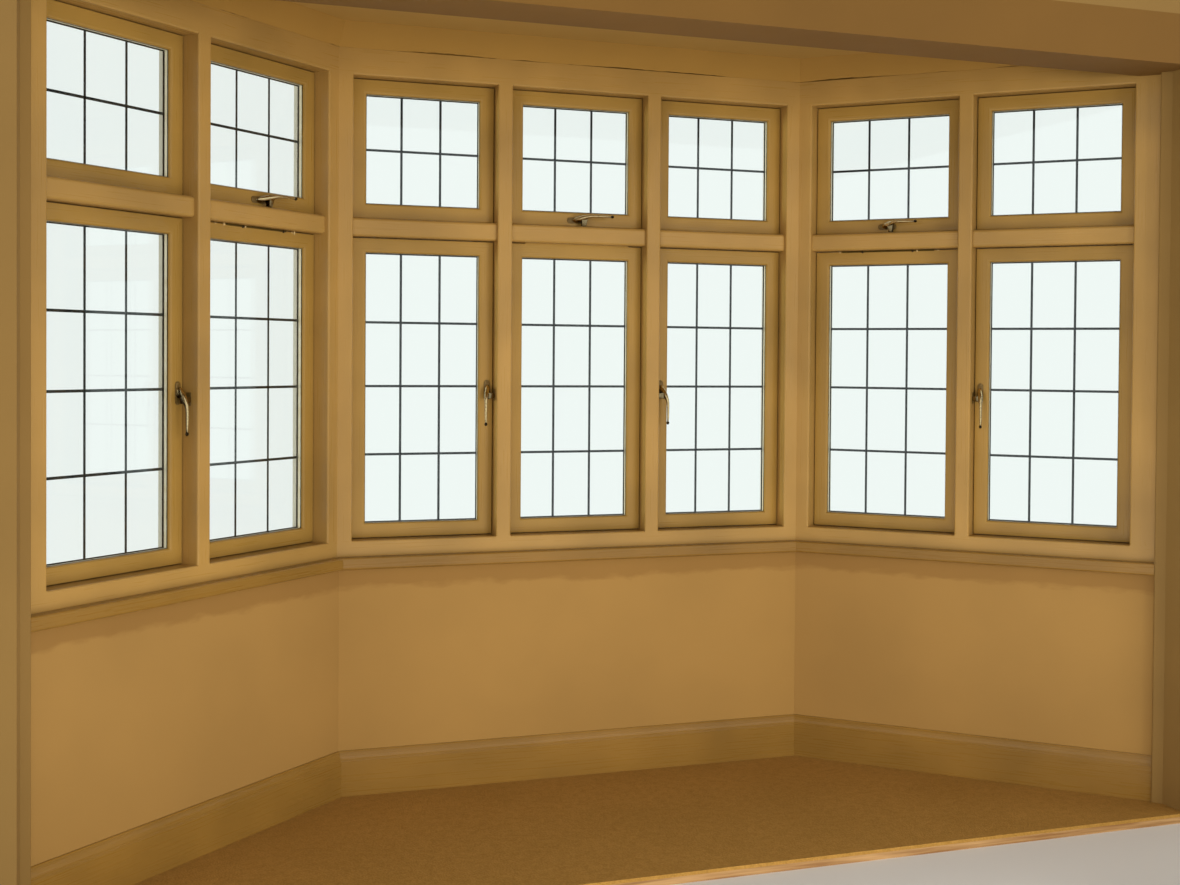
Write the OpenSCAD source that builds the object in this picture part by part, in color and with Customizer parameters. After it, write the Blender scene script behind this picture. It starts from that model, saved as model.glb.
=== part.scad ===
// Canted bay window in painted timber: three faces of leaded casements with
// top lights, on plastered dwarf walls, under a hipped bay roof.
// Millimetres. +Z is up, +Y points out of the room, +X to the right as seen
// from inside. The origin is at the bottom centre of the whole object.

/* [Bay plan] */
// Angle of the two side faces, in degrees
cant = 45; // [30:1:60]
// Width of a front light, between its mullions
light_b = 475; // [400:1:600]
// Width of a side light
light_a = 530; // [400:1:650]
// Width of a mullion
mull_w = 50; // [40:1:80]
// Face of a corner post beside its first light
post_face = 47; // [35:1:80]
// Face of a wall jamb beside the last side light
jamb_face = 83; // [50:1:110]

/* [Heights] */
// Thickness of the floor boards
deck_t = 20; // [15:1:30]
// Thickness of the carpet
carpet_t = 10; // [5:1:20]
// Carpet to the lower edge of the lower openings
sill_h = 820; // [600:5:1100]
// Height of a lower opening
low_h = 986; // [800:1:1200]
// Height of a transom
transom_h = 60; // [45:1:80]
// Height of an upper opening
up_h = 456; // [350:1:600]
// Height of the cill above the window board
rail_h = 50; // [35:1:80]
// Height of the head above the upper openings
head_h = 85; // [60:1:120]
// Height of the plaster band between head and ceiling
band_h = 78; // [50:1:150]
// Lean of the plaster band into the room at its top
band_lean = 36; // [0:1:60]

/* [Frame section] */
// Depth of the timber frame from its room face outwards
frame_d = 92; // [80:1:120]
// Depth from the room face of the mullions to the room face of the sashes
sash_in = 57; // [45:1:65]
// Depth from the room face of the mullions to the nose of a transom
transom_in = 17; // [5:1:30]
// Radius of the round edges of a transom's nose
nose_r = 11; // [8:1:28]
// Radius of the worn edge of posts, mullions, head and rail
arris_r = 6; // [2:0.5:10]

/* [Sash] */
// Gap between a sash and its frame
gap = 4; // [2:0.5:6]
// Flat width of a stile or rail
stile = 36; // [30:1:50]
// Width of the sloping bead round the glass
bead = 10; // [6:1:14]
// Depth of that bead
bead_d = 9; // [6:1:14]
// Thickness of the sealed glass unit
glass_t = 20; // [14:1:28]
// Cover of the bead over the edge of the glass
glass_cover = 8; // [5:1:12]
// Overlap of the storm lip on the outside of the frame
lip = 9; // [6:1:14]
// Thickness of the storm lip
lip_t = 12; // [8:1:16]

/* [Walls] */
// Plaster face of the dwarf wall in front of the frame face
plaster_in = 12; // [0:1:25]
// Outer face of the dwarf wall beyond the frame face
wall_out = 150; // [120:5:200]
// Thickness of the window board
board_t = 39; // [25:1:45]
// Nose of the window board in front of the frame face
board_nose = 37; // [25:1:60]
// Depth of the window board under the frame
board_back = 40; // [20:1:60]
// Overhang of the cill beyond the outer face of the dwarf wall
cill_out = 35; // [20:1:60]
// Height of the cill's outer nose
cill_nose = 36; // [25:1:60]
// Fall of the cill from the frame to its nose
cill_fall = 30; // [10:1:40]
// Height of the skirting
skirt_h = 145; // [100:1:200]
// Thickness of the skirting
skirt_t = 18; // [12:1:25]
// Plaster corner beside the wall jamb, measured along the side face
corner_w = 36; // [20:1:60]
// How far that plaster corner stands in front of the frame face
corner_in = 40; // [20:1:60]
// Length of each house wall stub beyond the plaster corner
stub_w = 366; // [200:5:700]

/* [Top] */
// Underside of the beam above the top of the upper sashes
beam_up = 27; // [5:1:60]
// Width of the beam from front to back
beam_d = 210; // [120:5:250]
// Thickness of the bay ceiling
ceil_t = 15; // [10:1:30]
// Outer edge of the soffit beyond the frame face
eave_out = 300; // [220:5:400]
// Thickness of the soffit board
soffit_t = 12; // [9:1:20]
// Thickness of the fascia board
fascia_t = 20; // [15:1:30]
// Overhang of the roof edge beyond the fascia
tile_over = 25; // [10:1:50]
// Pitch of the bay roof in degrees
pitch = 25; // [15:1:40]
// Height of the roof edge above the ceiling's upper face
edge_up = 20; // [10:5:40]
// Thickness of tiles, battens and rafters, square to the slope
roof_t = 100; // [70:5:150]

/* [Fasteners] */
// Height of a plate's centre above the lower edge of its opening
plate_up = 488; // [300:5:700]
// Half length of a fastener plate
plate_l = 31; // [20:1:40]
// Width of a fastener plate
plate_w = 16; // [12:1:22]
// Distance of a handle in front of the sash
handle_out = 48; // [20:1:60]
// How far body and handle are turned away from the keeper, in degrees
handle_turn = 15; // [0:1:25]
// Length of a fastener from plate centre to handle tip
handle_l = 119; // [80:1:140]

/* [Part] */
// Which named part to draw

/* [Hidden] */
floor_z = deck_t + carpet_t;
sill_z = floor_z + sill_h;
front_w = 2 * post_face + 3 * light_b + 2 * mull_w;
side_l = post_face + 2 * light_a + mull_w + jamb_face;
tb = tan(cant / 2);
top_z = sill_z + low_h + transom_h + up_h;
head_z = top_z + head_h;
ceil_z = head_z + band_h;
beam_z = top_z - gap + beam_up;
board_z = sill_z - rail_h - board_t;
mid_z = sill_z + low_h;
up_z = mid_z + transom_h;
roof_z = ceil_z + ceil_t;
beam_back = (side_l - jamb_face) * sin(cant) + 9;
house_in = beam_back + beam_d;
house_out = side_l * sin(cant) - wall_out * cos(cant);
roof_out = eave_out + tile_over;
by = (house_in - roof_out) / 2;
roof_edge = roof_z + edge_up;
big = 9000;
$fn = 48;

// Local axes of a face: x runs along it, y is depth out of the room.
module on_front() {
  translate([-front_w / 2, by, 0]) children();
}
module on_right() {
  translate([front_w / 2, by, 0]) rotate([0, 0, -cant]) children();
}
module on_left() {
  mirror([1, 0, 0]) on_right() children();
}

// Plan of a strip along a face between two depths, mitred at the corners.
module front_plan(w1, w2) {
  polygon([[-w1 * tb, w1], [front_w + w1 * tb, w1],
    [front_w + w2 * tb, w2], [-w2 * tb, w2]]);
}
module side_plan(w1, w2, l) {
  polygon([[-w1 * tb, w1], [l, w1], [l, w2], [-w2 * tb, w2]]);
}

// A section drawn as (depth, height), run along a face and mitred.
module run(l) {
  translate([-l, 0, 0]) rotate([90, 0, 90]) linear_extrude(3 * l) children();
}
module front_run(w1, w2) {
  intersection() {
    run(front_w) children();
    translate([0, 0, -10]) linear_extrude(big) front_plan(w1, w2);
  }
}
module side_run(w1, w2, l) {
  intersection() {
    run(l) children();
    translate([0, 0, -10]) linear_extrude(big) side_plan(w1, w2, l);
  }
}

// Cutter for a worn edge: the timber lies on the +x +y side of the edge.
module arris() {
  difference() {
    translate([-1, -1]) square(arris_r + 1);
    translate([arris_r, arris_r]) circle(arris_r);
  }
}

// Start of each light along its face.
front_at = [for (i = [0:2]) post_face + i * (light_b + mull_w)];
side_at = [for (i = [0:1]) post_face + i * (light_a + mull_w)];

// A point of the right face in plan, from its depth and distance.
function rp(u, w) = [front_w / 2 + u * cos(cant) + w * sin(cant),
  by - u * sin(cant) + w * cos(cant)];

// The same point on the left face.
function flip(p) = [-p[0], p[1]];

// Half width of the object, to the cut end of a house wall stub.
stub_x = rp(side_l + corner_w, -corner_in)[0] + stub_w;

// Dwarf walls of rendered and plastered masonry.
module front_wall() {
  color("#cdb894") on_front() linear_extrude(board_z) front_plan(-plaster_in, wall_out);
}
module side_wall() {
  linear_extrude(board_z) side_plan(-plaster_in, wall_out, side_l);
}
module left_wall() {
  color("#cdb894") on_left() side_wall();
}
module right_wall() {
  color("#cdb894") on_right() side_wall();
}

// Stub of the house wall beside the bay, with its plaster corner.
module return_plan() {
  difference() {
    polygon([rp(side_l, -corner_in), rp(side_l + corner_w, -corner_in),
      [rp(side_l + corner_w, -corner_in)[0], by - house_in],
      [stub_x, by - house_in], [stub_x, by - house_out],
      rp(side_l, wall_out)]);
    translate(rp(side_l, -corner_in)) rotate(-cant) arris();
  }
}
module return_wall() {
  difference() {
    linear_extrude(roof_z) return_plan();
    translate([0, by - house_in - 1, beam_z])
      cube([big, beam_d + 1, big]);
  }
}
module left_return() {
  color("#cdb894") mirror([1, 0, 0]) return_wall();
}
module right_return() {
  color("#cdb894") return_wall();
}

// Boarded floor of the bay, and the carpet on it up to the skirting.
module floor_plan(w) {
  difference() {
    intersection() {
      bay_plan(w);
      behind(house_in);
    }
    return_plan();
    mirror([1, 0]) return_plan();
  }
}
module floor_deck() {
  color("#b08a5a") linear_extrude(deck_t) floor_plan(-plaster_in);
}
module carpet() {
  color("#d6c7a4") translate([0, 0, deck_t]) linear_extrude(carpet_t)
    floor_plan(-plaster_in - skirt_t);
}

// Skirting with a moulded top, standing on the boards.
module skirt_section() {
  p = plaster_in;
  t = skirt_t;
  h = floor_z + skirt_h;
  polygon([[-p, deck_t], [-p - t, deck_t], [-p - t, h - 33], [-p - t + 4, h - 28],
    [-p - t + 4, h - 24], [-p - t + 6, h - 16], [-p - t + 10, h - 9],
    [-p - t + 13, h - 5], [-p - t + 13, h], [-p, h]]);
}
module front_skirting() {
  color("#e2d3b0") on_front() front_run(-60, 0) skirt_section();
}
module left_skirting() {
  color("#e2d3b0") on_left() side_run(-60, 0, side_l) skirt_section();
}
module right_skirting() {
  color("#e2d3b0") on_right() side_run(-60, 0, side_l) skirt_section();
}

// Window board with a rounded nose.
module board_section() {
  r = 7;
  difference() {
    translate([-board_nose, board_z]) square([board_nose + board_back, board_t]);
    translate([-board_nose - 1, board_z + board_t - r]) difference() {
      square(r + 1);
      translate([r + 1, 0]) circle(r);
    }
    translate([-board_nose - 1, board_z - 1]) difference() {
      square(r + 1);
      translate([r + 1, r + 1]) circle(r);
    }
  }
}
module front_board() {
  color("#e6d8b6") on_front() front_run(-60, 60) board_section();
}
module left_board() {
  color("#e6d8b6") on_left() side_run(-60, 60, side_l) board_section();
}
module right_board() {
  color("#e6d8b6") on_right() side_run(-60, 60, side_l) board_section();
}

// Cill of the frame: level to the room, its upper edge worn round under each
// light, and weathered outside down to a nose with a drip groove.
module cill_section() {
  nose = wall_out + cill_out;
  nose_z = board_z + cill_nose;
  difference() {
    polygon([[0, board_z + board_t], [0, sill_z], [frame_d, sill_z],
      [frame_d, nose_z + cill_fall], [nose, nose_z], [nose, board_z],
      [board_back, board_z], [board_back, board_z + board_t]]);
    translate([nose - 20, board_z - 1]) square([8, 7]);
  }
}
module edge_low(x, l) {
  translate([x, 0, sill_z]) rotate([90, 0, 90]) linear_extrude(l)
    mirror([0, 1]) arris();
}
module front_cill() {
  color("#e6d8b6") on_front() difference() {
    front_run(-10, big) cill_section();
    for (x = front_at) edge_low(x, light_b);
  }
}
module side_cill() {
  difference() {
    side_run(-10, big, side_l) cill_section();
    for (x = side_at) edge_low(x, light_a);
  }
}
module left_cill() {
  color("#e6d8b6") on_left() side_cill();
}
module right_cill() {
  color("#e6d8b6") on_right() side_cill();
}

// Corner posts, bent to both faces.
module post_plan() {
  difference() {
    polygon([[front_w / 2 - post_face, by], [front_w / 2, by], rp(post_face, 0),
      rp(post_face, frame_d), [front_w / 2 + frame_d * tb, by + frame_d],
      [front_w / 2 - post_face, by + frame_d]]);
    translate([front_w / 2 - post_face, by]) arris();
    translate(rp(post_face, 0)) rotate(-cant) mirror([1, 0]) arris();
  }
}
module corner_posts() {
  color("#e6d8b6") for (m = [0, 1]) mirror([m, 0, 0])
    translate([0, 0, sill_z]) linear_extrude(top_z - sill_z) post_plan();
}

// Jambs against the house wall.
module jamb() {
  translate([side_l - jamb_face, 0, sill_z]) linear_extrude(top_z - sill_z)
    difference() {
      square([jamb_face, frame_d]);
      arris();
    }
}
module wall_jambs() {
  color("#e6d8b6") {
    on_left() jamb();
    on_right() jamb();
  }
}

// Mullions between the lights.
module mullion(x) {
  translate([x, 0, sill_z]) linear_extrude(top_z - sill_z) difference() {
    square([mull_w, frame_d]);
    arris();
    translate([mull_w, 0]) mirror([1, 0]) arris();
  }
}
module front_mullions() {
  color("#e6d8b6") on_front() for (i = [1, 2]) mullion(front_at[i] - mull_w);
}
module side_mullions() {
  color("#e6d8b6") {
    on_left() mullion(side_at[1] - mull_w);
    on_right() mullion(side_at[1] - mull_w);
  }
}

// Transoms with a round nose to the room and a drip outside.
module transom(x, l) {
  r = nose_r;
  a = transom_in;
  b = frame_d;
  translate([x, 0, mid_z]) rotate([90, 0, 90]) linear_extrude(l) union() {
    translate([a + r, 0]) square([b - a - r, transom_h]);
    translate([a, r]) square([r + 1, transom_h - 2 * r]);
    translate([a + r, r]) circle(r);
    translate([a + r, transom_h - r]) circle(r);
    polygon([[b - 1, lip + 4], [b + 26, lip + 4], [b + 26, lip + 12],
      [b - 1, lip + 26]]);
  }
}
module front_transoms() {
  color("#e6d8b6") on_front() for (x = front_at) transom(x, light_b);
}
module left_transoms() {
  color("#e6d8b6") on_left() for (x = side_at) transom(x, light_a);
}
module right_transoms() {
  color("#e6d8b6") on_right() for (x = side_at) transom(x, light_a);
}

// Head of the frame, its lower edge worn round over each light.
module head_section() {
  translate([0, top_z]) square([frame_d, head_h]);
}
module edge_high(x, l) {
  translate([x, 0, top_z]) rotate([90, 0, 90]) linear_extrude(l) arris();
}
module beam_space() {
  translate([-big / 2, by - beam_back - big, beam_z]) cube([big, big, big]);
}
module front_head() {
  color("#e6d8b6") on_front() difference() {
    front_run(-10, 120) head_section();
    for (x = front_at) edge_high(x, light_b);
  }
}
module side_head() {
  difference() {
    on_right() difference() {
      side_run(-10, 120, side_l) head_section();
      for (x = side_at) edge_high(x, light_a);
    }
    beam_space();
  }
}
module left_head() {
  color("#e6d8b6") mirror([1, 0, 0]) side_head();
}
module right_head() {
  color("#e6d8b6") side_head();
}

// A hole whose four sides slope evenly between two depths.
module taper_hole(w, h, w1, e1, w2, e2) {
  over = 5 * e1 + 5 * e2;
  intersection() {
    translate([0, 0, -over]) linear_extrude(h + 2 * over) polygon([[-e1, w1],
      [w + e1, w1], [w + e2, w2], [-e2, w2]]);
    translate([-over, 0, 0]) rotate([90, 0, 90]) linear_extrude(w + 2 * over)
      polygon([[w1, -e1], [w1, h + e1], [w2, h + e2], [w2, -e2]]);
  }
}

// One sash in an opening w wide and h high, from the opening's lower corner.
sight = gap + stile + bead;
glass_in = sash_in + bead_d;
glass_out = glass_in + glass_t;
sash_out = frame_d + lip_t;
module sash(w, h) {
  gw = w - 2 * sight;
  gh = h - 2 * sight;
  difference() {
    union() {
      translate([gap, sash_in, gap])
        cube([w - 2 * gap, frame_d - sash_in + 1, h - 2 * gap]);
      translate([-lip, frame_d, -lip]) cube([w + 2 * lip, lip_t, h + 2 * lip]);
    }
    translate([sight, 0, sight]) {
      translate([0, sash_in - 1, 0]) cube([gw, 80, gh]);
      taper_hole(gw, gh, sash_in - 0.9, bead * 1.1, glass_in, 0);
      taper_hole(gw, gh, glass_out, 0, sash_out + 1, 8);
    }
    translate([sight - glass_cover, glass_in, sight - glass_cover])
      cube([gw + 2 * glass_cover, glass_t, gh + 2 * glass_cover]);
  }
}
module glass(w, h) {
  translate([sight - glass_cover, glass_in, sight - glass_cover])
    cube([w - 2 * (sight - glass_cover), glass_t, h - 2 * (sight - glass_cover)]);
}
module front_lights(z) {
  on_front() for (x = front_at) translate([x, 0, z]) children();
}
module side_lights(z) {
  for (x = side_at) translate([x, 0, z]) children();
}
module front_lower_sashes() {
  color("#e0d2b0") front_lights(sill_z) sash(light_b, low_h);
}
module left_lower_sashes() {
  color("#e0d2b0") on_left() side_lights(sill_z) sash(light_a, low_h);
}
module right_lower_sashes() {
  color("#e0d2b0") on_right() side_lights(sill_z) sash(light_a, low_h);
}
module front_upper_sashes() {
  color("#e0d2b0") front_lights(up_z) sash(light_b, up_h);
}
module left_upper_sashes() {
  color("#e0d2b0") on_left() side_lights(up_z) sash(light_a, up_h);
}
module right_upper_sashes() {
  color("#e0d2b0") on_right() side_lights(up_z) sash(light_a, up_h);
}
module side_glass() {
  side_lights(sill_z) glass(light_a, low_h);
  side_lights(up_z) glass(light_a, up_h);
}
module front_glass() {
  color("#a9c8d8", 0.4) {
    front_lights(sill_z) glass(light_b, low_h);
    front_lights(up_z) glass(light_b, up_h);
  }
}
module left_glass() {
  color("#a9c8d8", 0.4) on_left() side_glass();
}
module right_glass() {
  color("#a9c8d8", 0.4) on_right() side_glass();
}

// Body of a fastener, bent out from its boss, and the handle hanging from it.
module bent_handle() {
  translate([-4, 0, 0]) rotate([90, 0, 90]) linear_extrude(8)
    polygon([[-8, 19], [-15, 18], [-handle_out - 3, -28],
      [-handle_out - 3, -40], [-handle_out + 3, -40], [-14, -12], [-8, 4]]);
  translate([0, -handle_out, -handle_l + 4])
    cylinder(h = handle_l - 42, d1 = 5.5, d2 = 7.5);
  translate([0, -handle_out, -handle_l + 4]) sphere(d = 8);
}

// A casement fastener: plate, boss, nosed body and hanging handle.
// It lies on the plane y = 0, stands out towards -y and hangs along -z.
// The nose points to +x.
module fastener() {
  rotate([90, 0, 0]) linear_extrude(3) {
    for (z = [-1, 1]) translate([0, z * (plate_l - plate_w / 2)])
      circle(d = plate_w);
    square([plate_w, 2 * plate_l - plate_w], center = true);
  }
  translate([0, 0, 12]) rotate([90, 0, 0]) cylinder(h = 15, d = 15);
  rotate([0, 0, -handle_turn]) bent_handle();
  translate([-4, -13, -14]) cube([25, 6, 14]);
}
fast_z = sill_z + plate_up;
fast_up_z = up_z + gap + stile / 2;
stile_mid = gap + stile / 2;

// The same one laid along +x on a lower rail, its nose down to the transom.
module laid_fastener() {
  rotate([0, -90, 0]) mirror([1, 0, 0]) fastener();
}
module front_fasteners() {
  color("#6d5a3c") on_front() {
    translate([front_at[0] + light_b - stile_mid, sash_in, fast_z]) fastener();
    translate([front_at[2] + stile_mid, sash_in, fast_z])
      mirror([1, 0, 0]) fastener();
    translate([front_at[1] + light_b / 2, sash_in, fast_up_z]) laid_fastener();
  }
}
module left_fasteners() {
  color("#6d5a3c") on_left() {
    translate([side_at[1] + stile_mid, sash_in, fast_z])
      mirror([1, 0, 0]) fastener();
    translate([side_at[0] + light_a / 2, sash_in, fast_up_z])
      mirror([1, 0, 0]) laid_fastener();
  }
}
module right_fasteners() {
  color("#6d5a3c") on_right() {
    translate([side_at[1] + stile_mid, sash_in, fast_z])
      mirror([1, 0, 0]) fastener();
    translate([side_at[0] + light_a / 2, sash_in, fast_up_z]) laid_fastener();
  }
}

// Plaster band above the head, leaning into the room: a ring in plan, less
// the space in front of its three leaning faces.
module ring_plan(w1, w2) {
  ends = [rp(side_l, w1), rp(side_l, w2), rp(-w2 * tb, w2)];
  corner = rp(-w1 * tb, w1);
  polygon([ends[0], ends[1], ends[2], flip(ends[2]), flip(ends[1]), flip(ends[0]),
    flip(corner), corner]);
}
module band_space() {
  slope = band_lean / band_h;
  polygon([[-big, head_z - 1], [slope, head_z - 1],
    [-band_lean - slope, ceil_z + 1], [-big, ceil_z + 1]]);
}
module ceiling_band() {
  color("#d8c49c") difference() {
    translate([0, 0, head_z]) linear_extrude(band_h)
      ring_plan(-band_lean - 1, frame_d);
    intersection() {
      on_front() run(big) band_space();
      on_left() run(big) band_space();
      on_right() run(big) band_space();
    }
    beam_space();
  }
}

// Flat ceiling of the bay, behind the beam.
module bay_plan(w, back) {
  corner = rp(-w * tb, w);
  far = rp(big / 2, w);
  polygon([corner, far, flip(far), flip(corner)]);
}
module behind(y) {
  translate([-big / 2, by - y]) square([big, big]);
}
module bay_ceiling() {
  color("#d8c49c") translate([0, 0, ceil_z]) linear_extrude(ceil_t)
    difference() {
      intersection() {
        bay_plan(frame_d);
        behind(beam_back);
      }
      return_plan();
      mirror([1, 0]) return_plan();
    }
}

// Plastered beam across the mouth of the bay, on the two wall stubs.
module beam() {
  color("#dcc9a2") translate([-stub_x, by - house_in, beam_z])
    cube([2 * stub_x, beam_d, roof_z - beam_z]);
}

// Soffit and fascia under the roof edge.
module eave_plan(w1, w2) {
  difference() {
    intersection() {
      bay_plan(w2);
      behind(house_out);
      translate([-stub_x, -big / 2]) square([2 * stub_x, big]);
    }
    bay_plan(w1);
    return_plan();
    mirror([1, 0]) return_plan();
  }
}
module soffit() {
  color("#cfc3a6") translate([0, 0, head_z]) linear_extrude(soffit_t)
    eave_plan(frame_d, eave_out - fascia_t);
}
module fascia() {
  color("#e0d6bf") translate([0, 0, head_z - 15])
    linear_extrude(roof_z - head_z + 15) eave_plan(eave_out - fascia_t, eave_out);
}

// Hipped roof with three slopes, built back to the room face of the house wall,
// with the roof space under them left open.
module slope_side(edge) {
  rise = big * tan(pitch) / 2;
  rotate([90, 0, 90]) linear_extrude(2 * big, center = true)
    polygon([[roof_out, 0], [roof_out, edge],
      [roof_out - big / 2, edge + rise], [roof_out - big / 2, 0]]);
}
module hipped(edge, deep) {
  intersection() {
    on_front() slope_side(edge);
    on_left() slope_side(edge);
    on_right() slope_side(edge);
    translate([-stub_x, by - house_in, roof_z]) cube([2 * stub_x, deep, big]);
  }
}
roof_under = roof_edge - roof_t / cos(pitch);
module roof() {
  color("#8a5a45") {
    difference() {
      hipped(roof_edge, big);
      hipped(roof_under, big);
    }
    translate([0, 0, head_z + soffit_t])
      linear_extrude(roof_z - head_z - soffit_t)
        eave_plan(frame_d, eave_out - fascia_t);
  }
}

// House wall that the beam carries, up to the underside of the roof.
module upper_wall() {
  color("#cdb894") hipped(roof_under, beam_d);
}

front_wall();
left_wall();
right_wall();
left_return();
right_return();
floor_deck();
carpet();
front_skirting();
left_skirting();
right_skirting();
front_board();
left_board();
right_board();
front_cill();
left_cill();
right_cill();
corner_posts();
wall_jambs();
front_mullions();
side_mullions();
front_transoms();
left_transoms();
right_transoms();
front_head();
left_head();
right_head();
front_lower_sashes();
left_lower_sashes();
right_lower_sashes();
front_upper_sashes();
left_upper_sashes();
right_upper_sashes();
front_glass();
left_glass();
right_glass();
front_fasteners();
left_fasteners();
right_fasteners();
ceiling_band();
bay_ceiling();
beam();
soffit();
fascia();
roof();
upper_wall();
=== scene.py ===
# %% [markdown]
# # A leaded bay window, seen from the room
#
# The object is a canted bay: three faces of painted timber casements on plastered
# dwarf walls, under a small hipped roof of clay tiles. Its pieces come in at their
# real size as a fixed frame, in metres, with +Y pointing out of the room. This lesson
# gives them their finish, and models again the ones whose detail is finer than the
# construction model holds: sashes, sealed glass units with lead strips, fasteners,
# cracked plaster and roof tiles.

# %% Load the frame
import math
import random

import bmesh
import bpy
from mathutils import Matrix, Vector, noise


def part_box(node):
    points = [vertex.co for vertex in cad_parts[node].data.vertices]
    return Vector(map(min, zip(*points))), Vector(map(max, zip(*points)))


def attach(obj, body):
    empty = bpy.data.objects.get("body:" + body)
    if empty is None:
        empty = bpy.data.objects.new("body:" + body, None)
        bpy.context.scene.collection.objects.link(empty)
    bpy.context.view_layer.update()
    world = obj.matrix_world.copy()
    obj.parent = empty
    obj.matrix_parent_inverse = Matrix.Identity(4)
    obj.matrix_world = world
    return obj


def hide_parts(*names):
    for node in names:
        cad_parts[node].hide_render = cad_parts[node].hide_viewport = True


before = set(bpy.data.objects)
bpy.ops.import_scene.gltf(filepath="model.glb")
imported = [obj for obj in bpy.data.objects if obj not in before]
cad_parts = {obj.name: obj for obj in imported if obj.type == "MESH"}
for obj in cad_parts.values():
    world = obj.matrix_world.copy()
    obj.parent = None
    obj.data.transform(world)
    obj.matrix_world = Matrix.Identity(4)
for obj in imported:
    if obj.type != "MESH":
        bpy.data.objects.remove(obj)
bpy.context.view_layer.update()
MM = 0.001

# %% [markdown]
# ## The camera
#
# The bay is seen from inside the room, from its left half, by someone who stands a
# little under five metres from its middle face. A photograph that was cropped or whose
# camera was held a little high needs a lens shift. All values here were found by lining
# up corners of the frame with the picture, whose size is given in its own pixels.

# %% Camera
PICTURE = (1180, 885)
FOCAL = 1480.9
PRINCIPAL = (673.3, 386.2)
STAND_OFF = 4.8396
face_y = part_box("front_mullions")[0].y
EYE = (-1.4217, face_y - STAND_OFF, 1.4449)
YAW, PITCH, ROLL = (math.radians(a) for a in (19.98, -1.036, 0.465))
SENSOR = 36.0

ahead = Vector((math.sin(YAW) * math.cos(PITCH), math.cos(YAW) * math.cos(PITCH), math.sin(PITCH)))
level = Vector((math.cos(YAW), -math.sin(YAW), 0))
upward = level.cross(ahead)
across = math.cos(ROLL) * level + math.sin(ROLL) * upward
upright = math.cos(ROLL) * upward - math.sin(ROLL) * level

lens = bpy.data.cameras.new("camera")
lens.sensor_width = SENSOR
lens.sensor_fit = "HORIZONTAL"
lens.lens = FOCAL / PICTURE[0] * SENSOR
lens.shift_x = (PICTURE[0] / 2 - PRINCIPAL[0]) / PICTURE[0]
lens.shift_y = (PRINCIPAL[1] - PICTURE[1] / 2) / PICTURE[0]
camera = bpy.data.objects.new("camera", lens)
turn = Matrix((across, upright, -ahead)).transposed()
camera.matrix_world = Matrix.Translation(EYE) @ turn.to_4x4()
bpy.context.scene.collection.objects.link(camera)
bpy.context.scene.camera = camera
print("lens", round(lens.lens, 2), "mm, shift", round(lens.shift_x, 4), round(lens.shift_y, 4))

# %% [markdown]
# ## Three faces, one set of axes each
#
# A joiner sets out each face of the bay on its own: distance along the face, depth
# out of the room, and height. A matrix per face turns such a place into the frame's
# axes, so every sash or pane is modelled once, square on. The left face is the right
# one mirrored, and a mirrored mesh has to have its faces turned round again.

# %% Face axes, read from the frame
CANT = math.radians(45)
FRAME_DEPTH = 92 * MM
half_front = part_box("front_head")[1].x - FRAME_DEPTH * math.tan(CANT / 2)
right_face = Matrix.Translation((half_front, face_y, 0)) @ Matrix.Rotation(-CANT, 4, "Z")
FACES = {
    "front": Matrix.Translation((-half_front, face_y, 0)),
    "right": right_face,
    "left": Matrix.Scale(-1, 4, (1, 0, 0)) @ right_face,
}
FACE_TURN = {"front": 0.0, "right": CANT, "left": -CANT}
print("front face", round(2 * half_front, 4), "m wide at y", round(face_y, 4))

# %% [markdown]
# ## Finishes as trees of nodes
#
# Every finish here is a tree of nodes, which could be built by hand in the shader
# editor. In code one function adds a node, sets what it is given and links what comes
# from another node, so that a finish reads as a few lines. Colours are written as sRGB
# hex values, as they are seen on the object, and turned linear for the shader.

# %% Nodes and colours
def linear(colour):
    """An sRGB hex colour as linear values, with an alpha of one."""
    values = [int(colour[i:i + 2], 16) / 255 for i in (1, 3, 5)]
    return [v / 12.92 if v <= 0.04045 else ((v + 0.055) / 1.055) ** 2.4 for v in values] + [1.0]


def shade(colour, factor):
    """A colour made darker or lighter, in linear light."""
    return [min(1.0, c * factor) for c in linear(colour)[:3]] + [1.0]


def add(tree, kind, inputs=(), **settings):
    """Adds a node: settings are its own, inputs maps sockets to values, colours or links."""
    made = tree.nodes.new("ShaderNode" + kind)
    for name, value in settings.items():
        setattr(made, name, value)
    for key, value in dict(inputs).items():
        if isinstance(value, bpy.types.NodeSocket):
            tree.links.new(value, made.inputs[key])
        else:
            made.inputs[key].default_value = linear(value) if isinstance(value, str) else value
    return made


def new_finish(name):
    """An empty material, and its tree to fill."""
    material = bpy.data.materials.new(name)
    material.use_nodes = True
    material.node_tree.nodes.clear()
    return material, material.node_tree


def skin(tree, sockets):
    """Ends a finish with its shader, joined to the material's output."""
    add(tree, "OutputMaterial", {0: add(tree, "BsdfPrincipled", sockets).outputs[0]})


print("middle grey is", round(linear("#808080")[0], 3), "in linear light")

# %% Patterns
def here(tree):
    """The place of a point on its piece, in metres."""
    return add(tree, "TexCoord").outputs["Object"]


def place(tree, scale, turned=0.0):
    """Object coordinates turned about the upright axis, then scaled for a pattern."""
    where = here(tree)
    if turned:
        where = add(tree, "Mapping", {"Vector": where, "Rotation": (0, 0, turned)}).outputs[0]
    return add(tree, "Mapping", {"Vector": where, "Scale": scale}).outputs[0]


def grain(tree, size, detail=2.0, stretch=(1, 1, 1), turned=0.0):
    """Cloudy noise whose lumps are about size metres across, stretched by an axis."""
    where = place(tree, [1 / (size * s) for s in stretch], turned)
    return add(tree, "TexNoise", {"Vector": where, "Scale": 1.0, "Detail": detail}).outputs["Fac"]


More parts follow.
